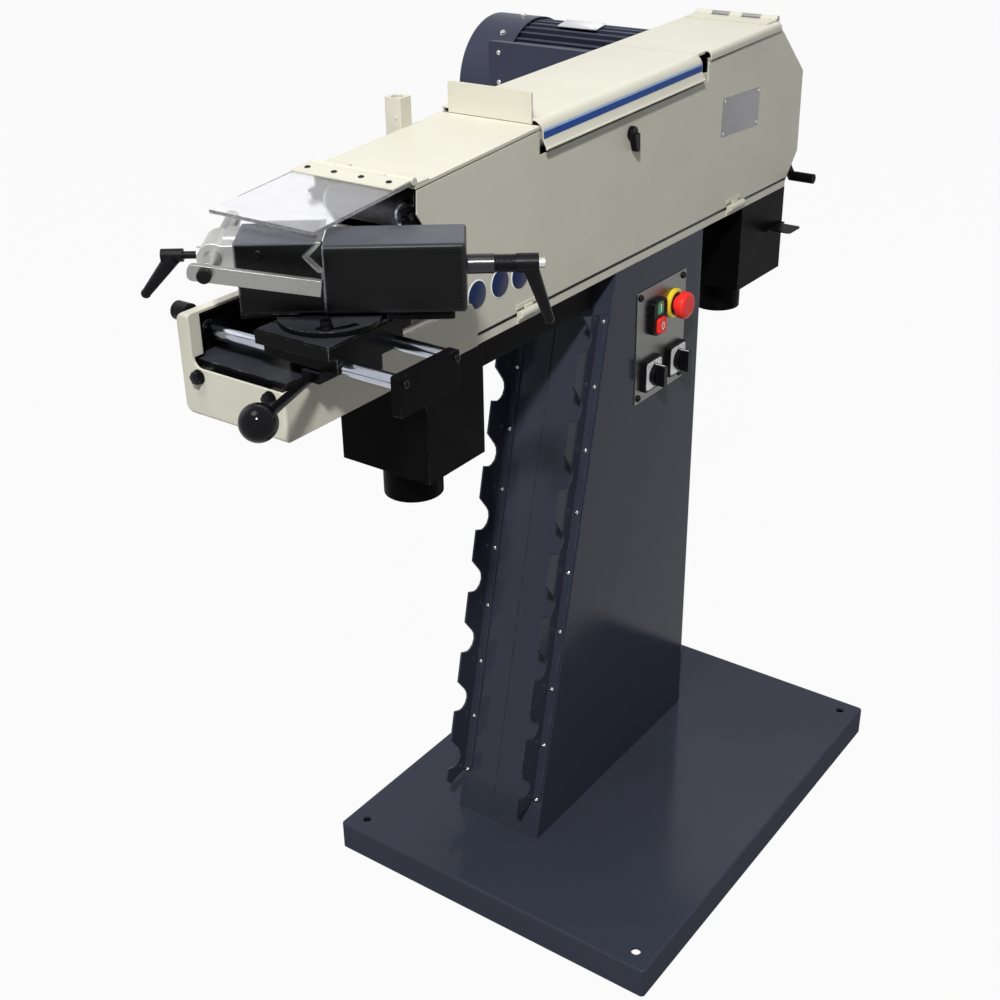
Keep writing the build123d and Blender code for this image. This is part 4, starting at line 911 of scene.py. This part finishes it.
class GRINDER_OT_motor_fittings(bpy.types.Operator):
    """Cowl screws, terminal box screws and the bare plate on top of the motor."""

    bl_idname = "grinder.motor_fittings"
    bl_label = "Motor Fittings"

    def execute(self, context):
        self.cowl_screws()
        self.terminal_screws()
        self.plate()
        return {"FINISHED"}

    def cowl_screws(self):
        """Bolts round the open edge of the cowl."""
        edge, sunk = -0.420, 0.0002
        places = []
        for degrees in (-35, -2, 145, 178):
            out = round_motor(degrees)
            places.append(placed(MOTOR_AXIS + RIGHT * edge + out * (COWL_RADIUS - sunk), out, RIGHT))
        head = hex_bolt(radius=0.0046, height=0.0042)
        add_copies("cowl_screws", head, places, "frame", "screw")

    def terminal_screws(self):
        """Screws in the corners of the terminal box's lid."""
        low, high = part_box("terminal_box")
        inset, lift = 0.021, 0.0165
        places = [placed((x, low.y, z), FRONT) for x in (low.x + inset, high.x - inset)
                  for z in (low.z + lift, high.z - lift)]
        head = socket_screw(radius=0.0040, height=0.0026, socket=0.0017)
        add_copies("terminal_screws", head, places, "frame", "screw")

    def plate(self):
        """Bright plate on a pad, tilted forwards, with a rivet in each corner."""
        pad_foot, pad_height = 0.1008, 0.0034
        middle = MOTOR_AXIS + Vector((-0.2985, 0.0035, 0))
        out = round_motor(-10)
        place = placed(middle + out * pad_foot, out, RIGHT)
        pad = slab(width=0.056, height=0.020, thickness=pad_height, corner=0.002)
        add_copies("motor_plate_pad", pad, [place], "frame", "motor")
        plate = slab(width=0.074, height=0.031, thickness=0.0018, corner=0.002, soften=0.0004)
        place = place @ Matrix.Translation((0, 0, pad_height))
        add_copies("motor_plate", plate, [place], "frame", "bright_foil")
        head = rivet(radius=0.0020, foot=0.0, shoulder=0.0024, crown=0.0007)
        spots = corners(place, across=0.033, up=0.0115)
        add_copies("motor_plate_rivets", head, spots, "frame", "screw")


class GRINDER_OT_trough_bolts(bpy.types.Operator):
    """Dark bolts of the guide rods and the end plate, and the set screw of the lamp socket."""

    bl_idname = "grinder.trough_bolts"
    bl_label = "Trough Bolts"

    def execute(self, context):
        rod_height, bar_height = 0.966, 1.006
        head = hex_bolt(context.scene.grinder_sizes.trough_bolt, height=0.0085)
        places = [placed((x, TROUGH_FACE, rod_height), FRONT) for x in (-0.122, -0.016)]
        add_copies("guide_bolts", head, places, "frame", "oxide")
        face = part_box("end_plate")[1].x
        head = socket_screw(radius=0.0048, height=0.0020, socket=0.0022)
        places = [placed((face, y, bar_height), RIGHT) for y in (-0.665, -0.581)]
        add_copies("bar_screws", head, places, "carriage", "oxide")
        head = socket_screw(radius=0.0024, height=0.0008, socket=0.0012)
        socket_front = (-0.1600, -0.303, 1.1633)
        place = placed(socket_front, FRONT)
        add_copies("socket_set_screw", head, [place], "frame", "ivory")
        return {"FINISHED"}


class GRINDER_OT_vise_fittings(bpy.types.Operator):
    """Ribbed collar and bright end of the clamp screw, jaw screw and the cap of the length stop."""

    bl_idname = "grinder.vise_fittings"
    bl_label = "Vise Fittings"

    def execute(self, context):
        collar = ribbed_sleeve(bore=0.0088, root=0.0092, crest=0.0099, flange=0.0102, ribs=9, pitch=0.0024)
        place = placed(on_vise(along=0.1752, across=0.0, height=SCREW_HEIGHT), VISE_ALONG)
        add_copies("clamp_collar", collar, [place], "clamp", "oxide")
        tip = turned([(0.0053, 0.0), (0.0053, 0.0062), (0.0046, 0.0070), (0.0030, 0.0074), (0.0, 0.0074)])
        place = placed(on_vise(along=0.2222, across=0.0, height=SCREW_HEIGHT), VISE_ALONG)
        add_copies("clamp_tip", tip, [place], "clamp", "screw")
        head = socket_screw(radius=0.0046, height=0.0022, socket=0.0020)
        place = placed(on_vise(along=-0.0665, across=-0.037, height=1.1115), -VISE_ACROSS)
        add_copies("jaw_screw", head, [place], "swivel", "oxide")
        cap = turned([(0.0074, 0.0), (0.0074, 0.0076), (0.0069, 0.0085), (0.0056, 0.0089), (0.0, 0.0089)],
                     steps=36)
        place = placed(on_vise(along=-0.114, across=-0.082, height=STOP_HEIGHT), -VISE_ACROSS)
        add_copies("stop_cap", cap, [place], "stop_bar", "oxide")
        return {"FINISHED"}


class GRINDER_OT_stage(bpy.types.Operator):
    """Pale floor, soft light and the camera."""

    bl_idname = "grinder.stage"
    bl_label = "Stage"

    def execute(self, context):
        stage = context.scene.grinder_stage
        self.floor(context)
        self.camera(context, stage)
        for name, place, side, setting in LAMPS:
            self.lamp(context, name, place, side, getattr(stage, setting))
        self.sky(context, stage.sky)
        context.scene.view_settings.view_transform = "Standard"
        return {"FINISHED"}

    def shown_white(self, tree):
        """One for rays that show the background: straight, mirrored or through glass."""
        path = tree.nodes.new("ShaderNodeLightPath")
        value = path.outputs["Is Camera Ray"]
        for kind in ("Is Glossy Ray", "Is Transmission Ray"):
            either = tree.nodes.new("ShaderNodeMath")
            either.operation = "MAXIMUM"
            tree.links.new(value, either.inputs[0])
            tree.links.new(path.outputs[kind], either.inputs[1])
            value = either.outputs["Value"]
        return value

    def floor(self, context):
        """Wide disc that shows nearly white and keeps a faint shadow."""
        bm = bmesh.new()
        bmesh.ops.create_circle(bm, cap_ends=True, segments=64, radius=FLOOR_RADIUS)
        mesh = bpy.data.meshes.new("floor")
        bm.to_mesh(mesh)
        bm.free()
        f = Finish("pale_floor")
        f.wire(Base_Color=f.mixed(f.noise(scale=40.0, detail=4.0), FLOOR_DARK, FLOOR_PALE), Roughness=0.9)
        shown = f.times(self.shown_white(f.tree), FLOOR_WHITE)
        white = f.node("ShaderNodeEmission", {"Color": (1.0, 1.0, 1.0, 1.0), "Strength": 1.0})
        blend = f.node("ShaderNodeMixShader", {0: shown, 1: f.shader.outputs["BSDF"],
                                               2: white.outputs["Emission"]})
        f.feed(f.tree.nodes["Material Output"].inputs["Surface"], blend.outputs["Shader"])
        mesh.materials.append(f.material)
        floor = bpy.data.objects.new("floor", mesh)
        context.scene.collection.objects.link(floor)

    def camera(self, context, stage):
        """Camera at the photograph's place and angle."""
        a, e = stage.azimuth, stage.elevation
        back = Vector((math.sin(a) * math.cos(e), -math.cos(a) * math.cos(e), math.sin(e)))
        right = UP.cross(back).normalized()
        view = Matrix((right, back.cross(right), back)).transposed().to_4x4()
        data = bpy.data.cameras.new("camera")
        data.sensor_width = SENSOR_WIDTH
        data.lens = stage.lens
        camera = bpy.data.objects.new("camera", data)
        camera.matrix_world = Matrix.Translation(stage.eye) @ view @ Matrix.Rotation(stage.roll, 4, "Z")
        context.scene.collection.objects.link(camera)
        context.scene.camera = camera

    def lamp(self, context, name, place, side, strength):
        """Square lamp aimed at the machine's middle."""
        data = bpy.data.lights.new(name, "AREA")
        data.size = side
        data.energy = strength
        lamp = bpy.data.objects.new(name, data)
        aim = LAMP_AIM - Vector(place)
        lamp.matrix_world = Matrix.Translation(place) @ aim.to_track_quat("-Z", "Y").to_matrix().to_4x4()
        context.scene.collection.objects.link(lamp)

    def sky(self, context, strength):
        """Weak even light all round, behind a background that shows nearly white."""
        world = bpy.data.worlds.new("studio")
        context.scene.world = world
        world.use_nodes = True
        tree = world.node_tree
        soft = tree.nodes["Background"]
        soft.inputs["Color"].default_value = SKY_TINT
        soft.inputs["Strength"].default_value = strength
        white = tree.nodes.new("ShaderNodeBackground")
        white.inputs["Color"].default_value = BACKGROUND
        blend = tree.nodes.new("ShaderNodeMixShader")
        tree.links.new(self.shown_white(tree), blend.inputs[0])
        tree.links.new(soft.outputs["Background"], blend.inputs[1])
        tree.links.new(white.outputs["Background"], blend.inputs[2])
        tree.links.new(blend.outputs["Shader"], tree.nodes["World Output"].inputs["Surface"])


class GRINDER_PT_panel(bpy.types.Panel):
    """Sidebar list of the grinder's pieces."""

    bl_idname = "GRINDER_PT_panel"
    bl_label = "Tube Belt Grinder"
    bl_space_type = "VIEW_3D"
    bl_region_type = "UI"
    bl_category = "Grinder"

    def draw(self, context):
        for operator in OPERATORS:
            self.layout.operator(operator.bl_idname)


OPERATORS = (
    GRINDER_OT_finish_frame,
    GRINDER_OT_rack_screws,
    GRINDER_OT_control_screws,
    GRINDER_OT_switch_faces,
    GRINDER_OT_button_marks,
    GRINDER_OT_lid_trim,
    GRINDER_OT_door_plates,
    GRINDER_OT_shield_screws,
    GRINDER_OT_motor_fittings,
    GRINDER_OT_trough_bolts,
    GRINDER_OT_vise_fittings,
    GRINDER_OT_stage,
)
GROUPS = (
    ("grinder_colours", GrinderColours),
    ("grinder_sizes", GrinderSizes),
    ("grinder_stage", GrinderStage),
)


def register():
    for name, group in GROUPS:
        bpy.utils.register_class(group)
        setattr(bpy.types.Scene, name, PointerProperty(type=group))
    for cls in OPERATORS + (GRINDER_PT_panel,):
        bpy.utils.register_class(cls)


def unregister():
    for cls in reversed(OPERATORS + (GRINDER_PT_panel,)):
        bpy.utils.unregister_class(cls)
    for name, group in reversed(GROUPS):
        delattr(bpy.types.Scene, name)
        bpy.utils.unregister_class(group)


def main():
    register()
    for operator in OPERATORS:
        group, call = operator.bl_idname.split(".")
        getattr(getattr(bpy.ops, group), call)()


if __name__ == "__main__":
    main()
